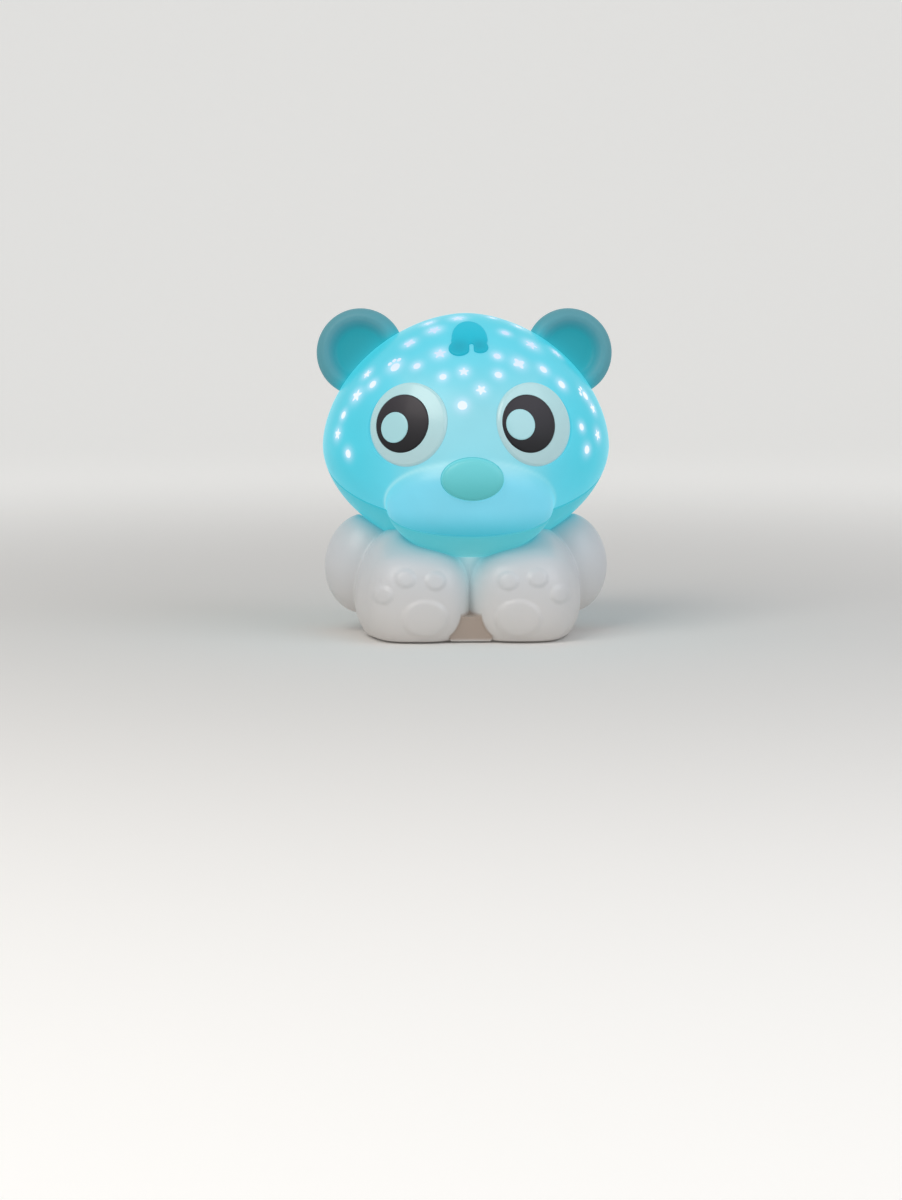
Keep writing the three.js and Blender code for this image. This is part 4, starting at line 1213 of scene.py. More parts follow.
# Paler cyan plastic of the glints
GLINT_PLASTIC = PlasticFinish(
    "ABS pale cyan, injection moulded, polished",
    "#a8dae0",
    "#aadce2",
    rise=(0.085, 0.125),
    roughness=0.25,
    coat=0.2,
    lit=0.3,
)
# Black plastic of the irises, painted lighter towards the top as a painted reflection
IRIS_PLASTIC = PlasticFinish(
    "ABS black, injection moulded, polished",
    "#0c0c10",
    "#2e2a30",
    rise=(0.09, 0.122),
    roughness=0.42,
    coat=0.06,
    specular=0.3,
    grain=3.0,
    grain_height=0.001,
)
# Nickel-plated spring steel of contacts and springs
SPRING_STEEL = PlasticFinish(
    "Spring steel, nickel plated", "#b9bcc0", "#c6c9cc", roughness=0.3, coat=0.0, metallic=1.0, grain=0.5
)
# Zinc-plated steel of the screws
SCREW_STEEL = PlasticFinish(
    "Steel, zinc plated, pressed and rolled",
    "#a4a8ab",
    "#b2b5b8",
    roughness=0.38,
    coat=0.0,
    metallic=1.0,
    grain=0.4,
)
# Black nylon of the switch's slider
BLACK_NYLON = PlasticFinish("Nylon black, injection moulded", "#1b1b1d", "#1f1f22", roughness=0.45, coat=0.0)
# Green fibreglass circuit boards
GREEN_BOARD = PlasticFinish(
    "Fibreglass board, solder-mask green", "#245c3a", "#2c6b45", roughness=0.4, coat=0.2
)
# Grey rubber of the feet
GREY_RUBBER = PlasticFinish("Rubber grey, moulded", "#8f9295", "#999c9f", roughness=0.8, coat=0.0, grain=0.3)
# Plain grey jacket of the cells
CELL_JACKET = PlasticFinish("Steel can, grey shrink sleeve", "#50545a", "#5a5e64", roughness=0.35)
# Red sleeve of the leads
RED_SLEEVE = PlasticFinish(
    "PVC red, extruded over copper wire", "#9c2a28", "#a8302d", roughness=0.5, coat=0.1
)


# Sub-assemblies


def middle_of(box: tuple[Vector, Vector]) -> Vector:
    """The middle of a node's box, dropped on the floor, in millimetres."""
    low, high = box
    return Vector(((low.x + high.x) / 2 / MM, (low.y + high.y) / 2 / MM, 0.0))


def head_axis() -> Vector:
    """The head's axis on the floor, in millimetres: the middle of the lamp post inside it."""
    return middle_of(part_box("led_post"))


def in_frame(points: Array) -> Array:
    """Places of the frame, in millimetres, as seen from the head's axis."""
    return points - np.array(head_axis())


def finished(obj: Piece, material: bpy.types.Material, body: str, slot: str, *nodes: str) -> None:
    """Gives a piece its finish and its place in the frame.

    Args:
        obj: the piece.
        material: its finish.
        body: the body that it moves with.
        slot: the record's material slot; not used.
        nodes: the frame's nodes that it stands for.
    """
    obj.data.materials.clear()
    obj.data.materials.append(material)
    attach(obj, body)
    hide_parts(*nodes)
    log.info("%s: %d faces", obj.name, len(obj.data.polygons))


@dataclass
class Head:
    """The glowing head: dome, lower shell and the star lens whose pads fill the dome's windows."""

    sizes: HeadSizes
    windows: WindowSizes
    eyes: EyeSizes
    nose: NoseSizes

    def __post_init__(self) -> None:
        """Works out the parting plane's normal and its middle on the head's axis."""
        self.axis = head_axis()
        tilt = math.radians(self.sizes.parting_tilt)
        self.up = np.array([0.0, -math.sin(tilt), math.cos(tilt)])
        self.middle = np.array([0.0, 0.0, self.sizes.parting_height])

    def local_field(self, points: Array) -> Array:
        """The head's plain surface from its own axis: the skull and the muzzle with a fillet between them."""
        s = self.sizes
        return blend_min(egg_field(points, s.skull), self.muzzle_field(points), s.muzzle_fillet)

    def muzzle_field(self, points: Array) -> Array:
        """The muzzle's egg, which leans forward, seen from the head's own axis."""
        muzzle = self.sizes.muzzle
        return egg_field(turned_points(points, muzzle.centre, self.sizes.muzzle_lean, "X"), muzzle)

    def field(self, points: Array) -> Array:
        """The head's plain surface in the frame."""
        return self.local_field(in_frame(points))

    def solid(self, name: str, offset: float, across: int = 2, up: int = 2, groove: bool = False) -> Piece:
        """The head as one closed solid, grown or shrunk.

        A vertex lies on each ray from the middle of the parting plane, where the field equals the offset.
        It is found by halving. Rings are parallel to the parting plane, and closer together beside it where
        there is a groove.

        Args:
            name: the object's name.
            offset: how far the surface is grown.
            across: what the number of vertices in each ring is divided by.
            up: what the number of rings is divided by.
            groove: whether the edges of both shells are rounded, which leaves a groove at the parting plane.

        Returns:
            The object.
        """
        s = self.sizes
        columns = s.columns // across
        angles = np.linspace(-math.pi / 2, math.pi / 2, s.rows // up + 2)[1:-1]
        if groove:
            beside = np.array(s.groove_rings) / s.skull.half_width
            angles = np.unique(np.concatenate([angles[np.abs(angles) > s.groove_band], beside, -beside]))
        around = turns(columns)
        side = np.array([1.0, 0.0, 0.0])
        flat = np.cos(around)[:, None] * side + np.sin(around)[:, None] * np.cross(self.up, side)
        rays = np.cos(angles)[:, None, None] * flat + np.sin(angles)[:, None, None] * self.up
        rays = np.concatenate([[-self.up], rays.reshape(-1, 3), [self.up]])
        low, high = np.zeros(len(rays)), np.full(len(rays), s.longest_ray)
        for _ in range(26):
            half = (low + high) / 2
            outside = self.local_field(self.middle + rays * half[:, None]) > offset
            high = np.where(outside, half, high)
            low = np.where(outside, low, half)
        reach = (low + high) / 2
        if groove:
            away = np.abs(rays @ self.up) * reach
            reach = reach - s.groove_depth * np.exp(-((away / s.groove_width) ** 2))
        points = self.middle + rays * reach[:, None] + np.array(self.axis)
        return new_object(name, points, lathe_faces(len(angles), columns))

    def beyond_parting(self, height: float) -> Piece:
        """A block that holds everything above the parting plane, or below it where the height is negative.

        Args:
            height: the block's nearest face along the plane's normal.

        Returns:
            The block.
        """
        low, high = (height, FAR) if height > 0 else (-FAR, height)
        place = Matrix.Translation(self.axis + Vector(self.middle.tolist()))
        turn = Matrix.Rotation(math.radians(self.sizes.parting_tilt), 4, "X")
        return placed(block("beyond parting", (-FAR, -FAR, low), (FAR, FAR, high)), place @ turn)

    def outline(self, kind: WindowKind, size: float) -> Array:
        """A window's outline: a circle, or a wave with 4 flower leaves or 5 star points.

        At turn t its radius is the size times 1, 0.78 + 0.22 cos 4t, or 0.52 + 0.48 ((1 + cos 5t) / 2)^1.5.

        Args:
            kind: which outline.
            size: its radius.

        Returns:
            (x, y) pairs, counter-clockwise.
        """
        turn = turns(kind.value)
        shares = {
            DOT: np.ones(len(turn)),
            FLOWER: 0.78 + 0.22 * np.cos(4 * turn),
            STAR: 0.52 + 0.48 * ((1 + np.cos(5 * turn)) / 2) ** 1.5,
        }
        reach = size * shares[kind]
        return np.stack([-reach * np.sin(turn), reach * np.cos(turn)], axis=1)

    def window_frame(self, window: Window) -> Matrix:
        """The frame of a window at the head's centre, with Z out through its middle.

        Args:
            window: the window.

        Returns:
            The frame.
        """
        centre = self.axis + Vector(self.sizes.skull.centre)
        spin = Matrix.Rotation(math.radians(window.spin), 4, "Z")
        return aim(centre, window.azimuth, window.elevation) @ spin

    def window_prisms(self, name: str, inset: float) -> Piece:
        """All windows as prisms that run out from inside the head.

        Args:
            name: the object's name.
            inset: how far each outline is shrunk.

        Returns:
            One object that holds them all.
        """
        w = self.windows
        toe_turns = [math.radians(w.toe_turn * side) for side in (-1, 0, 1)]
        reach = w.toe_spread
        toes = [(DOT, w.toe, reach * math.sin(turn), reach * math.cos(turn)) for turn in toe_turns]
        shapes = {
            DOT: [(DOT, w.dot, 0.0, 0.0)],
            STAR: [(STAR, w.star, 0.0, 0.0)],
            FLOWER: [(FLOWER, w.flower, 0.0, 0.0)],
            PAW: [(DOT, w.pad, 0.0, -w.pad_below * w.pad), *toes],
        }
        made = []
        for window in WINDOWS:
            for kind, radius, x, y in shapes[window.kind]:
                outline = self.outline(kind, radius * window.share - inset) + np.array([x, y]) * window.share
                made.append(placed(prism(name, outline, w.low, w.high), self.window_frame(window)))
        return merged(name, made)

    def eye_frame(self, side: int) -> Matrix:
        """The frame of an eye disc: where it sits on the skull, and the way it looks.

        Args:
            side: -1 for the viewer's left, 1 for the right.

        Returns:
            The frame.
        """
        e, skull = self.eyes, self.sizes.skull
        height = abs(e.height - skull.centre[2]) / skull.rise
        ring = (1 - height**skull.side_power) ** (1 / skull.side_power)
        y = -skull.half_depth * math.sqrt(ring**2 - (e.apart / skull.half_width) ** 2)
        return aim(self.axis + Vector((side * e.apart, y, e.height)), side * e.turn, e.rise)

    def eye_seat(self, side: int, grow: float, top: float) -> Piece:
        """A solid the size of an eye disc and its clearance.

        Its underside lies on the sphere of the disc's, shrunk by the clearance.

        Args:
            side: -1 for the viewer's left, 1 for the right.
            grow: the clearance.
            top: how far it reaches above the disc's frame.

        Returns:
            The object.
        """
        e = self.eyes
        rows = np.linspace(0, e.radius + grow, 8)
        under = np.sqrt((e.dome + e.proud - e.thick - grow) ** 2 - rows**2) - e.dome
        profile = np.concatenate([np.column_stack([rows, under]), [[e.radius + grow, top], [0.0, top]]])
        return placed(turned_solid("eye seat", profile, 120), self.eye_frame(side))

    def nose_frame(self) -> Matrix:
        """The frame of the nose: Z points forward out of the button."""
        return aim(self.axis + Vector((0.0, self.nose.front_y, self.nose.z)), 0.0, 0.0)

    def nose_rod(self, grow: float, low: float, high: float) -> Piece:
        """An oval rod round the nose's axis.

        Args:
            grow: how far the button's outline is grown.
            low: its lower end in the nose's frame.
            high: its upper end.

        Returns:
            The object.
        """
        radius = self.nose.half_width + grow
        squeeze = (self.nose.half_height + grow) / radius
        return placed(rod("nose rod", radius, low, high, 120, squeeze), self.nose_frame())

    def glow(self, obj: Piece) -> None:
        """Paints the light that spreads in the milky shell round each window, the muzzle and its crease.

        At a vertex window_glow is the sum over windows of exp(-(d / reach)^2), d being the distance to the
        ray through the window's middle. Crease is exp(-(a / width)^2), weaker to the viewer's right, and
        muzzle is a / width, a being the skull's field less the muzzle's.

        Args:
            obj: the dome.
        """
        s = self.sizes
        places = places_of(obj)
        total = np.zeros(len(places))
        for window in WINDOWS:
            matrix = self.window_frame(window)
            ray = np.array(matrix.to_3x3() @ Vector((0, 0, 1)))
            local = places - np.array(matrix.translation)
            along = local @ ray
            distance = np.linalg.norm(local - along[:, None] * ray, axis=1)
            reach = self.windows.halo[window.kind is not DOT] * window.share
            total += np.where(along > 0, np.exp(-((distance / reach) ** 2)), 0)
        paint(obj, "window_glow", total)
        local = in_frame(places)
        apart = egg_field(local, s.skull) - self.muzzle_field(local)
        crease = np.exp(-((apart / s.crease_width) ** 2)) * (local[:, 1] < 0)
        paint(obj, "crease", crease * np.clip(0.75 - local[:, 0] / 80, 0.35, 1))
        paint(obj, "muzzle", apart / s.muzzle_soft)

    def build(self) -> Piece:
        """Builds the dome, the lower shell and the star lens.

        Returns:
            The plain head solid grown by the gap, for cutting the pieces that touch the head.
        """
        s, n = self.sizes, self.nose
        outer = self.solid("head_dome_shell", 0.0, 1, 1, groove=True)
        inner = self.solid("inner", -s.wall)
        seats = [self.eye_seat(side, s.gap + s.wall, s.boss_top) for side, _ in SIDES]
        bosses = merged("bosses", [*seats, self.nose_rod(n.run + s.wall, -n.collar_depth, 0.0)])
        boolean(bosses, self.solid("just inside", -s.boss_skin), Cut.KEEP_SHARED)
        boolean(inner, bosses, Cut.REMOVE)
        dome = boolean(outer, inner, Cut.REMOVE)
        back = linked("head_back_shell", dome.data.copy())
        boolean(dome, self.beyond_parting(s.gap / 4), Cut.KEEP_SHARED)
        boolean(back, self.beyond_parting(-s.gap / 4), Cut.KEEP_SHARED)
        for side, _ in SIDES:
            boolean(dome, self.eye_seat(side, s.gap / 2, s.seat_top), Cut.REMOVE)
        boolean(dome, self.nose_rod(n.run, -n.collar_depth - n.room_behind, s.seat_top), Cut.REMOVE)
        boolean(dome, self.window_prisms("windows", 0.0), Cut.REMOVE)
        self.glow(dome)
        true_normals(dome, self.field)
        finished(dome, GlowFinish().make(), "shell", "dome_glow", "head_dome")
        boolean(back, placed(rod("neck", *s.neck), Matrix.Translation(self.axis)), Cut.REMOVE)
        true_normals(back, self.field)
        finished(back, TEAL_ABS.make(), "shell", "teal_shell", "head_back")
        self.build_lens()
        return self.solid("head cutter", s.cutter_gap, 2, 1)

    def build_lens(self) -> None:
        """Builds the star lens: a clear inner dome with a raised pad in each window."""
        s, w = self.sizes, self.windows
        outside = s.wall + s.gap
        pads = self.window_prisms("star_lens_pads", w.inset)
        boolean(pads, self.solid("flush", -w.flush, 1, 1), Cut.KEEP_SHARED)
        boolean(pads, self.solid("under", -(s.wall + w.pad_root)), Cut.REMOVE)
        inner = self.solid("lens inside", -(outside + w.lens_thick))
        dome = boolean(self.solid("star_lens_dome", -outside), inner, Cut.REMOVE)
        low = self.axis + Vector((-w.lens_half, -w.lens_half, w.lens_low))
        above = block("above", low, self.axis + Vector((w.lens_half, w.lens_half, FAR)))
        boolean(dome, above, Cut.KEEP_SHARED)
        boolean(dome, self.beyond_parting(w.lens_edge), Cut.KEEP_SHARED)
        for side, _ in SIDES:
            boolean(dome, self.eye_seat(side, w.lens_eye_room, s.seat_top), Cut.REMOVE)
        boolean(dome, pads, Cut.JOIN)
        true_normals(dome, lambda points: self.field(points) + w.flush)
        finished(dome, CLEAR_LENS.make(), "shell", "clear_lens", "star_lens")


@dataclass
class Eyes:
    """Both eyes: pale discs with bevelled rims, dark irises and pale glints."""

    sizes: EyeSizes
    head: Head

    def disc(self, name: str, radius: float, bottom: float, top: float, bevel: float) -> Piece:
        """A round slice of the eye's sphere with a bevelled rim.

        At radius r, a face whose middle is at height h lies at sqrt((dome + h)^2 - r^2) - dome.

        Args:
            name: the object's name.
            radius: the disc's radius.
            bottom: its underside's height at its middle.
            top: its face's height at its middle.
            bevel: width of the bevel.

        Returns:
            The disc in its own frame.
        """
        dome = self.sizes.dome

        def face(r: Array, middle: float) -> Array:
            """Rows (r, height) of a face whose middle is at a height."""
            return np.column_stack([r, np.sqrt((dome + middle) ** 2 - r**2) - dome])

        under = np.linspace(0, radius - 0.2, 8)
        over = np.linspace(radius - bevel, 0, 24)
        edge_top = face(np.array([radius]), top)[0, 1] - bevel * 0.55
        edge_low = face(np.array([radius]), bottom)[0, 1] + 0.2
        shoulder = face(over[:1], top)[0, 1]
        rim = [
            [radius, edge_low],
            [radius, edge_top - 0.15],
            [radius - 0.08, edge_top],
            [radius - bevel * 0.3, edge_top + bevel * 0.25],
            [radius - bevel * 0.7, shoulder - bevel * 0.12],
            [radius - bevel * 0.93, shoulder - 0.02],
        ]
        return turned_solid(name, np.concatenate([face(under, bottom), rim, face(over, top)]), 160)

    def seat(self, radius: float, bottom: float) -> Piece:
        """A disc up to well above the face, for cutting the seat of a smaller disc."""
        e = self.sizes
        return self.disc("seat", radius, bottom - e.seat_play, e.seat_top, e.seat_play)

    def gaze(self, aside: float, below: float) -> Matrix:
        """The frame of a smaller disc that has slid over the eye's sphere.

        Args:
            aside: how far it has slid to the viewer's right.
            below: how far it has slid down.

        Returns:
            The frame, seen from the eye's own.
        """
        dome = self.sizes.dome
        down = Matrix.Rotation(math.asin(below / dome), 4, "X")
        turn = down @ Matrix.Rotation(math.asin(aside / dome), 4, "Y")
        return Matrix.Translation((0, 0, -dome)) @ turn @ Matrix.Translation((0, 0, dome))

    def build(self) -> None:
        """Builds all six discs."""
        e = self.sizes
        pale, dark, bright = EYE_PLASTIC.make(), IRIS_PLASTIC.make(), GLINT_PLASTIC.make()
        iris_top, glint_top = e.proud + e.iris_proud, e.proud + e.glint_proud
        iris_low, glint_low = iris_top - e.iris_thick, glint_top - e.glint_thick
        for i, (side, name) in enumerate(SIDES):
            iris_frame = self.gaze(e.iris_aside[i], 0.0)
            glint_frame = self.gaze(e.glint_aside[i], e.glint_below[i])
            white = self.disc(f"eye_disc_{name}", e.radius, e.proud - e.thick, e.proud, e.bevel)
            seat = placed(self.seat(e.iris_radius + e.iris_play, iris_low), iris_frame)
            boolean(white, seat, Cut.REMOVE)
            iris = self.disc(f"iris_disc_{name}", e.iris_radius, iris_low, iris_top, e.iris_bevel)
            seat = placed(self.seat(e.glint_radius + e.glint_play, glint_low), glint_frame)
            boolean(placed(iris, iris_frame), seat, Cut.REMOVE)
            glint = self.disc(f"glint_disc_{name}", e.glint_radius, glint_low, glint_top, e.glint_bevel)
            placed(glint, glint_frame)
            for obj in (white, iris, glint):
                shade_by_angle(placed(obj, self.head.eye_frame(side)), 40.0)
            finished(white, pale, "shell", "eye_pale", f"eye_white_{name}")
            finished(iris, dark, "shell", "iris_gloss", f"iris_{name}")
            finished(glint, bright, "shell", "eye_pale", f"eye_glint_{name}")


@dataclass
class Nose:
    """The oval nose button with its stop flange, and its spring."""

    sizes: NoseSizes
    head: Head

    def build(self) -> None:
        """Builds the spring and the button, an oval turned solid with a soft crown and a crisp edge."""
        n = self.sizes
        back = -n.collar_depth - n.flange_gap
        crown = smooth_line(
            [
                [n.half_width, -n.crown - 0.6],
                [n.half_width - 0.1, -n.crown + 0.5],
                [n.half_width - n.edge * 0.6, -n.crown + 1.5],
                [n.half_width - n.edge * 2.2, -n.crown + 2.3],
                [n.half_width * 0.55, -0.35],
                [n.half_width * 0.2, -0.03],
                [0.0, 0.0],
            ],
            8,
        )
        rim = n.half_width + n.flange
        low = back - n.flange_thick
        flange = [[0.0, low], [rim, low], [rim, back], [n.half_width, back]]
        profile = np.concatenate([flange, crown])
        button = turned_solid("nose_button_oval", profile, 160, n.half_height / n.half_width)
        shade_by_angle(placed(button, self.head.nose_frame()), 50.0)
        finished(button, NOSE_PLASTIC.make(), "nose", "nose", "nose_button")
        self.build_spring()

    def build_spring(self) -> None:
        """Builds the coil spring behind the button.

        Its centre line is (r cos t, y, r sin t), with y growing evenly with t. A ring of the wire lies at
        cos a out + sin a across, out pointing away from the spring's axis and across being square to it and
        the line.
        """
        n = self.sizes
        low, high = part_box("nose_spring")
        turn = np.linspace(0.0, FULL_TURN * n.coils, 48 * n.coils + 1)[:, None]
        out = np.column_stack([np.cos(turn), np.zeros_like(turn), np.sin(turn)])
        centres = n.coil_radius * out + np.array([self.head.axis.x, 0.0, n.z])
        centres[:, 1] = np.linspace(low.y / MM + n.wire, high.y / MM - n.wire, len(turn))
        way = np.gradient(centres, axis=0)
        way /= np.linalg.norm(way, axis=1, keepdims=True)
        across = np.cross(way, out)
        angle = turns(16)[:, None]
        rings = centres[:, None] + n.wire * (np.cos(angle) * out[:, None] + np.sin(angle) * across[:, None])
        points = np.concatenate([centres[:1], rings.reshape(-1, 3), centres[-1:]])
        spring = new_object("nose_spring_coil", points, lathe_faces(len(centres), len(angle)))
        shade_by_angle(spring, 50.0)
        finished(spring, SPRING_STEEL.make(), "shell", "sprung_steel", "nose_spring")
        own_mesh(spring)


@dataclass
class Ears:
    """Both ears: thick dished discs that grow out of the dome."""

    sizes: EarSizes
    head: Head

    def profile(self) -> Array:
        """The ear's (radius, height) rows, from the middle of its back over the rim into the dish.

        Returns:
            The rows.
        """
        e = self.sizes
        crest = (e.radius + e.dish) / 2
        back = ((0.0, 1.0), (0.45, 1.0), (0.76, 0.95), (0.94, 0.74), (1.0, 0.46), (0.955, 0.17))
        dish = ((0.86, 0.86), (0.6, 1.05), (0.25, 1.12), (0.0, 1.13))
        rows = [[e.radius * out, -e.thick * deep] for out, deep in back]
        rows += [[crest + 0.4, 0.0], [crest - 2.0, -0.3], [e.dish + 0.2, -e.dish_depth * 0.42]]
        rows += [[e.dish * out, -e.dish_depth * deep] for out, deep in dish]
        line = smooth_line(rows, 7)
        line[:, 0] = np.maximum(line[:, 0], 0)
        line[0, 0] = line[-1, 0] = 0
        return line

    def build(self, head_solid: Piece) -> None:
        """Builds both ears, cuts them to the head and paints the dish and where the head's light reaches.

        Dish falls from 1 to 0 over its edge, and near_head is exp(-d / reach), d being the distance to the
        head.

        Args:
            head_solid: the head grown by the gap.
        """
        e = self.sizes
        material = EAR_PLASTIC.make()
        for side, name in SIDES:
            ear = turned_solid(f"ear_disc_{name}", self.profile(), 180)
            frame_of_ear = aim(self.head.axis + Vector((side * e.apart, e.y, e.z)), side * e.turn, e.rise)
            boolean(placed(ear, frame_of_ear), head_solid, Cut.REMOVE, keep=True)
            shade_by_angle(ear, 40.0)
            places = places_of(ear)
            local = seen_from(frame_of_ear, places)
            inward = e.dish + e.dish_edge - np.hypot(local[:, 0], local[:, 1])
            paint(ear, "dish", np.clip(inward / e.dish_soft, 0, 1) * (local[:, 2] > -e.thick / 2))
            paint(ear, "near_head", np.exp(-np.maximum(self.head.field(places), 0) / e.lit_reach))
            finished(ear, material, "shell", "ear", f"ear_{name}")


@dataclass
class Tuft:
    """The hair tuft, raised on the crown."""

    sizes: TuftSizes
    head: Head

    def __post_init__(self) -> None:
        """Works out the tuft's frame, at the skull's centre."""
        centre = self.head.axis + Vector(self.head.sizes.skull.centre)
        self.frame = aim(centre, 0.0, self.sizes.rise)

    def outline_field(self, x: Array, y: Array) -> Array:
        """Distance to the outline in its own plane: two lobes and a tapered crown, joined with fillets.

        Args:
            x: the places' way to the viewer's right.
            y: their way up the tuft.

        Returns:
            The distance of each place.
        """
        t = self.sizes
        middle_x, middle_y, width, rise, drop = t.crown
        tall = np.where(y > middle_y, rise, drop)
        crown = (np.hypot((x - middle_x) / width, (y - middle_y) / tall) - 1) * width
        lobes = np.minimum(*(np.hypot(x - a, y - b) - radius for a, b, radius in t.lobes))
        notch_x, low, high, radius = t.notch
        notch = np.hypot(x - notch_x, y - np.clip(y, low, high)) - radius
        return blend_max(blend_min(lobes, crown, t.blend), -notch, t.notch_edge)

    def field(self, points: Array) -> Array:
        """The tuft's surface: the outline pushed through a layer over the head, with a rounded edge.

        Args:
            points: places of the frame, one a row.

        Returns:
            The distance of each place.
        """
        t = self.sizes
        local = seen_from(self.frame, points)
        head = self.head.field(points)
        layer = np.maximum(head - t.proud, -t.sunk - head)
        return blend_max(self.outline_field(local[:, 0], local[:, 1]), layer, t.edge)

    def build(self, head_solid: Piece) -> None:
        """Builds the tuft, cuts it to the head and paints its lobes.

        Lobe is exp(-(d / radius)^2), d being the distance to a lobe's middle in the tuft's plane.

        Args:
            head_solid: the head grown by the gap.
        """
        t = self.sizes
        axis = np.array(self.head.axis)
        step = t.step
        points, quads = surface_net(self.field, axis + t.low, axis + t.high, step)
        tuft = new_object("hair_tuft_cap", points, quads.tolist())
        boolean(tuft, head_solid, Cut.REMOVE, keep=True)
        true_normals(tuft, self.field)
        x, y, _ = seen_from(self.frame, places_of(tuft)).T
        spread = [np.exp(-((x - a) ** 2 + (y - b) ** 2) / radius**2) for a, b, radius in t.lobes]
        paint(tuft, "lobe", np.maximum(*spread))
        finished(tuft, TUFT_PLASTIC.make(), "shell", "tuft", "hair_tuft")


@dataclass
class Body:
    """The seated body: one smooth form, parted into a front and a back shell."""

    sizes: BodySizes
    head: Head

    def limb_field(self, points: Array, side: int) -> Array:
        """One leg, its foot and its paw print, blended with fillets.

        A pad is where the foot, grown by paw_proud, lies ahead of its middle and inside an oval of the
        front view.

        Args:
            points: places, one a row, from the head's axis.
            side: -1 for the viewer's left, 1 for the right.

        Returns:
            The distance of each place.
        """
        b = self.sizes
        mirrored = points * np.array([side, 1.0, 1.0])
        local = mirrored - np.array(b.foot_centre)
        foot = egg_field(np.stack([local[:, 0], -local[:, 2], local[:, 1]], axis=1), b.foot)
        form = blend_min(egg_field(mirrored, b.leg), foot, b.ankle_fillet)
        spots = [(0.0, 0.0, *b.paw_half)]
        spots += [(aside * b.paw_half[0], up * b.paw_half[1], *b.toe_half) for aside, up in b.toe_shares]
        for x, z, width, height in spots:
            aside, above = local[:, 0] - x + b.paw_inward, local[:, 2] - z + b.paw_below
            oval = (np.hypot(aside / width, above / height) - 1) * min(width, height)
            pad = blend_max(foot - b.paw_proud, np.maximum(oval, local[:, 1]), b.paw_edge)
            form = blend_min(form, pad, b.paw_fillet)
        return form

    def local_field(self, points: Array) -> Array:
        """The body's outer surface: torso, legs and arms with fillets, less the floor and the head.

        Args:
            points: places, one a row, from the head's axis.

        Returns:
            The distance of each place.
        """
        b = self.sizes
        legs = blend_min(self.limb_field(points, -1), self.limb_field(points, 1), b.leg_fillet)
        form = blend_min(egg_field(points, b.torso), legs, b.hip_fillet)
        for side, _ in SIDES:
            x, y, z = b.arm.centre
            turned = turned_points(points, (side * x, y, z), -side * b.arm_lean, "Y")
            form = blend_min(form, egg_field(turned * np.array([side, 1.0, 1.0]), b.arm), b.arm_fillet)
        width, front, top = b.bridge
        x, y, z = points.T
        bridge = np.maximum.reduce([np.abs(x) - width, front - y, z - top, y])
        form = blend_min(form, bridge, b.bridge_fillet)
        form = blend_max(form, b.stand - z, b.sole_edge)
        return blend_max(form, b.gap - self.head.local_field(points), b.neck_edge)

    def field(self, points: Array) -> Array:
        """The body's outer surface in the frame."""
        return self.local_field(in_frame(points))

    def paint_light(self, obj: Piece) -> None:
        """Paints where the head's light reaches the body, and the shade between the feet.

        With d the distance to the head, near_head is exp(-d / reach), and throat is exp(-(x / width)^2 - d
        / 3 reach) between the legs: both are the head's light, painted on the body. Shade_between_feet is
        painted shade with a warm painted reflection: 1 on the bridge's face, falling to 0 within 1 or 2 mm
        of its edges.

        Args:
            obj: a shell of the body.
        """
        b = self.sizes
        local = in_frame(places_of(obj))
        x, y, z = local.T
        distance = np.maximum(self.head.local_field(local), 0)
        front = y < b.split_y
        paint(obj, "near_head", np.exp(-distance / b.lit_reach))
        paint(obj, "throat", np.exp(-((x / b.throat) ** 2) - distance / (3 * b.lit_reach)) * front)
        # painted shade, warm with a painted reflection, on the bridge between the feet
        width, face, top = b.bridge
        from_edges = [width + 1 - np.abs(x), (top + 2 - z) / 2, y - face + 1.4, z - b.stand - 0.3]
        paint(obj, "shade_between_feet", np.minimum.reduce(from_edges) * front)

    def build(self) -> None:
        """Builds both shells, with the pocket for the base plate underneath.

        The pocket's outline is the torso's ring round the base plate's box: x and y are the half sizes
        times the sine and the cosine to the power 2 / ring_power, with their signs.
        """
        b = self.sizes
        axis = np.array(self.head.axis)
        step = b.step
        points, quads = surface_net(self.field, axis + b.low, axis + b.high, step)
        whole = new_object("body_front_shell", points, quads.tolist())
        low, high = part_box("base_plate")
        half = np.array((high - low)[:2]) / 2 / MM + b.gap
        middle = Matrix.Translation(middle_of((low, high)))
        turn = turns(b.pocket_points)
        round_it = np.stack([np.cos(turn), np.sin(turn)], axis=1)
        ring = half * np.sign(round_it) * np.abs(round_it) ** (2 / b.torso.ring_power)
        plate_top = b.stand + b.plate_thick + b.gap
        boolean(whole, placed(prism("pocket", ring, -2.0, plate_top), middle), Cut.REMOVE)
        hollow = prism("hollow", ring * b.hollow_share, plate_top - 0.5, b.hollow_top)
        boolean(whole, placed(hollow, middle), Cut.REMOVE)
        back = linked("body_back_shell", whole.data.copy())
        split = float(axis[1]) + b.split_y
        ahead = block("front half", (-FAR, -FAR, -FAR), (FAR, split - b.gap / 3, FAR))
        behind = block("back half", (-FAR, split + b.gap / 3, -FAR), (FAR, FAR, FAR))
        material = WHITE_ABS.make()
        for obj, half_space, node in ((whole, ahead, "body_front"), (back, behind, "body_back")):
            boolean(obj, half_space, Cut.KEEP_SHARED)
            true_normals(obj, self.field, 0.4, 0.35)
            self.paint_light(obj)
            finished(obj, material, "shell", "white_shell", node)


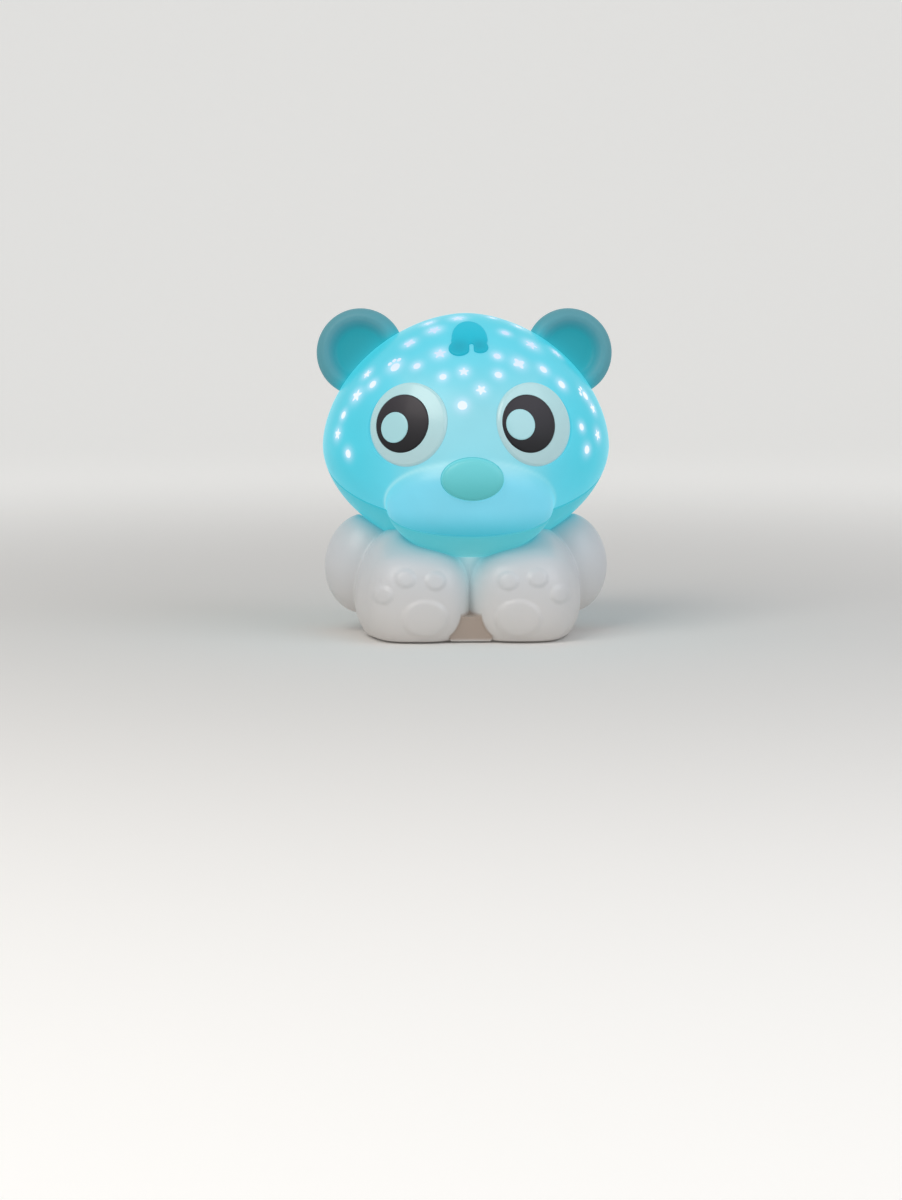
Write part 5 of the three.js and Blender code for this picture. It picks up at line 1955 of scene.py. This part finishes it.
class FrameFinishes:
    """Finishes for the pieces that keep the frame's own solids, by the record's material slot."""

    def __init__(self) -> None:
        """Makes the materials."""
        by_slot = {
            "white_shell": WHITE_ABS,
            "black_plastic": BLACK_NYLON,
            "circuit_board": GREEN_BOARD,
            "sprung_steel": SPRING_STEEL,
            "screw_steel": SCREW_STEEL,
            "foot_rubber": GREY_RUBBER,
            "cell_jacket": CELL_JACKET,
            "lead_sleeve": RED_SLEEVE,
            "clear_lens": CLEAR_LENS,
        }
        self.materials = {slot: finish.make() for slot, finish in by_slot.items()}

    def apply(self) -> None:
        """Gives every node of the frame that is still shown its finish."""
        slots = {entry["node"]: entry["material_slot"] for entry in frame["record"]["subparts"]}
        for name, obj in frame["nodes"].items():
            if obj.hide_render:
                continue
            material = self.materials[slots[name]]
            for place in obj.material_slots:
                place.material = material
            log.info("%s: %s", name, material.name)


# Studio


@dataclass(frozen=True)
class StudioSizes:
    """The floor, the lights and the camera. The camera stands where the photograph's did."""

    distance: float = 1400.0
    height: float = 174.5
    pitch: float = 6.5
    azimuth: float = -2.5
    aside: float = -7.4
    focal_pixels: float = 2828.0
    image_height: float = 1200.0
    sensor: float = 36.0
    floor: float = 6000.0
    floor_colour: str = "#e2e1de"
    far_colour: str = "#e9e9e7"
    far_light: float = 0.42
    far_ends: tuple[float, float] = (0.1, 1.2)
    key_watts: float = 9.0
    fill_watts: float = 4.0
    lit_height: float = 80.0
    world: float = 0.55
    world_seen: float = 0.92


@dataclass
class Studio:
    """A plain pale floor, soft light and the camera."""

    sizes: StudioSizes

    def hang(self, name: str, data: bpy.types.ID, place: Vector, look: Vector) -> Piece:
        """Hangs a lamp or a camera.

        Args:
            name: its name.
            data: the lamp or camera.
            place: where it hangs, in millimetres.
            look: the direction that it faces.

        Returns:
            The object.
        """
        made = linked(name, data)
        made.location = place * MM
        made.rotation_mode = "QUATERNION"
        made.rotation_quaternion = look.to_track_quat("-Z", "Y")
        return made

    def area(self, name: str, place: Place, size: float, watts: float, colour: str) -> None:
        """A square soft light that faces the bear.

        Args:
            name: the light's name.
            place: where it hangs, in millimetres.
            size: its side in millimetres.
            watts: its power.
            colour: its hex colour.
        """
        data = bpy.data.lights.new(name, "AREA")
        data.energy = watts
        data.size = size * MM
        data.color = linear(colour)[:3]
        self.hang(name, data, Vector(place), Vector((0, 0, self.sizes.lit_height)) - Vector(place))

    def backdrop(self) -> Piece:
        """The floor, which curves up into a wall far behind the bear.

        Seen from the side it is a line, the quarter circle (r + r sin t, r (1 - cos t)) and a line, r being a
        quarter of the floor's length.

        Returns:
            The floor.
        """
        s = self.sizes
        half = s.floor / 2
        turn = np.linspace(0, math.pi / 2, 24)
        radius = half / 2
        arc = np.stack([half / 2 + radius * np.sin(turn), radius * (1 - np.cos(turn))], axis=1)
        bend = np.concatenate([[[-half, 0.0]], arc, [[half, half * 1.5]]])
        points = np.column_stack([np.tile([-half * 2, half * 2], len(bend)), np.repeat(bend, 2, axis=0)])
        first = np.arange(len(bend) - 1) * 2
        faces = np.stack([first, first + 1, first + 3, first + 2], axis=1).tolist()
        floor = new_object("floor", points, faces)
        nodes = Nodes("Paper, pale grey, matte, lit at the far end")
        away = nodes.add("VectorMath", {0: nodes.place()[3]}, operation="LENGTH").outputs["Value"]
        far = nodes.times(nodes.share(away, s.far_ends), nodes.seen())
        inputs = {
            "Base Color": linear(s.floor_colour),
            "Roughness": 0.9,
            "Specular IOR Level": 0.1,
            "Emission Color": linear(s.far_colour),
            "Emission Strength": nodes.times(far, s.far_light),
        }
        floor.data.materials.append(nodes.finish(inputs))
        return floor

    def camera(self) -> None:
        """The camera: at the photograph's height, pitch, side and focal length."""
        s = self.sizes
        data = bpy.data.cameras.new("camera")
        data.sensor_fit = "VERTICAL"
        data.sensor_height = data.sensor_width = s.sensor
        data.lens = s.focal_pixels * s.sensor / s.image_height
        data.clip_start, data.clip_end = 0.05, 50.0
        turn, pitch = math.radians(s.azimuth), math.radians(s.pitch)
        away = Vector((math.sin(turn), -math.cos(turn), 0.0))
        right = Vector((math.cos(turn), math.sin(turn), 0.0))
        place = head_axis() + away * s.distance + right * s.aside + Vector((0, 0, s.height))
        look = -away * math.cos(pitch) - Vector((0, 0, math.sin(pitch)))
        bpy.context.scene.camera = self.hang("camera", data, place, look)

    def build(self) -> None:
        """Builds the floor, the lights, the world and the camera."""
        s = self.sizes
        self.backdrop()
        self.area("key light", (-700.0, -900.0, 1100.0), 900.0, s.key_watts, "#fff8f2")
        self.area("fill light", (900.0, -700.0, 700.0), 1000.0, s.fill_watts, "#eef4ff")
        nodes = Nodes("studio", world=True)
        light = nodes.add("MapRange", {"Value": nodes.seen(), "To Min": s.world, "To Max": s.world_seen})
        background = nodes.add("Background", {"Color": linear("#f2f3f5"), "Strength": light.outputs[0]})
        nodes.tree.links.new(background.outputs[0], nodes.output.inputs[0])
        bpy.context.scene.world = nodes.material
        bpy.context.scene.view_settings.view_transform = "Standard"
        self.camera()


def main() -> None:
    """Builds the bear, its studio and the camera, in the order in which the pieces rest on each other."""
    logging.basicConfig(level=logging.INFO, format="%(name)s %(message)s", stream=sys.stdout)
    head = Head(HeadSizes(), WindowSizes(), EyeSizes(), NoseSizes())
    head_solid = head.build()
    Eyes(EyeSizes(), head).build()
    Nose(NoseSizes(), head).build()
    Ears(EarSizes(), head).build(head_solid)
    Tuft(TuftSizes(), head).build(head_solid)
    delete(head_solid)
    Body(BodySizes(), head).build()
    FrameFinishes().apply()
    Studio(StudioSizes()).build()


if __name__ == "__main__":
    main()
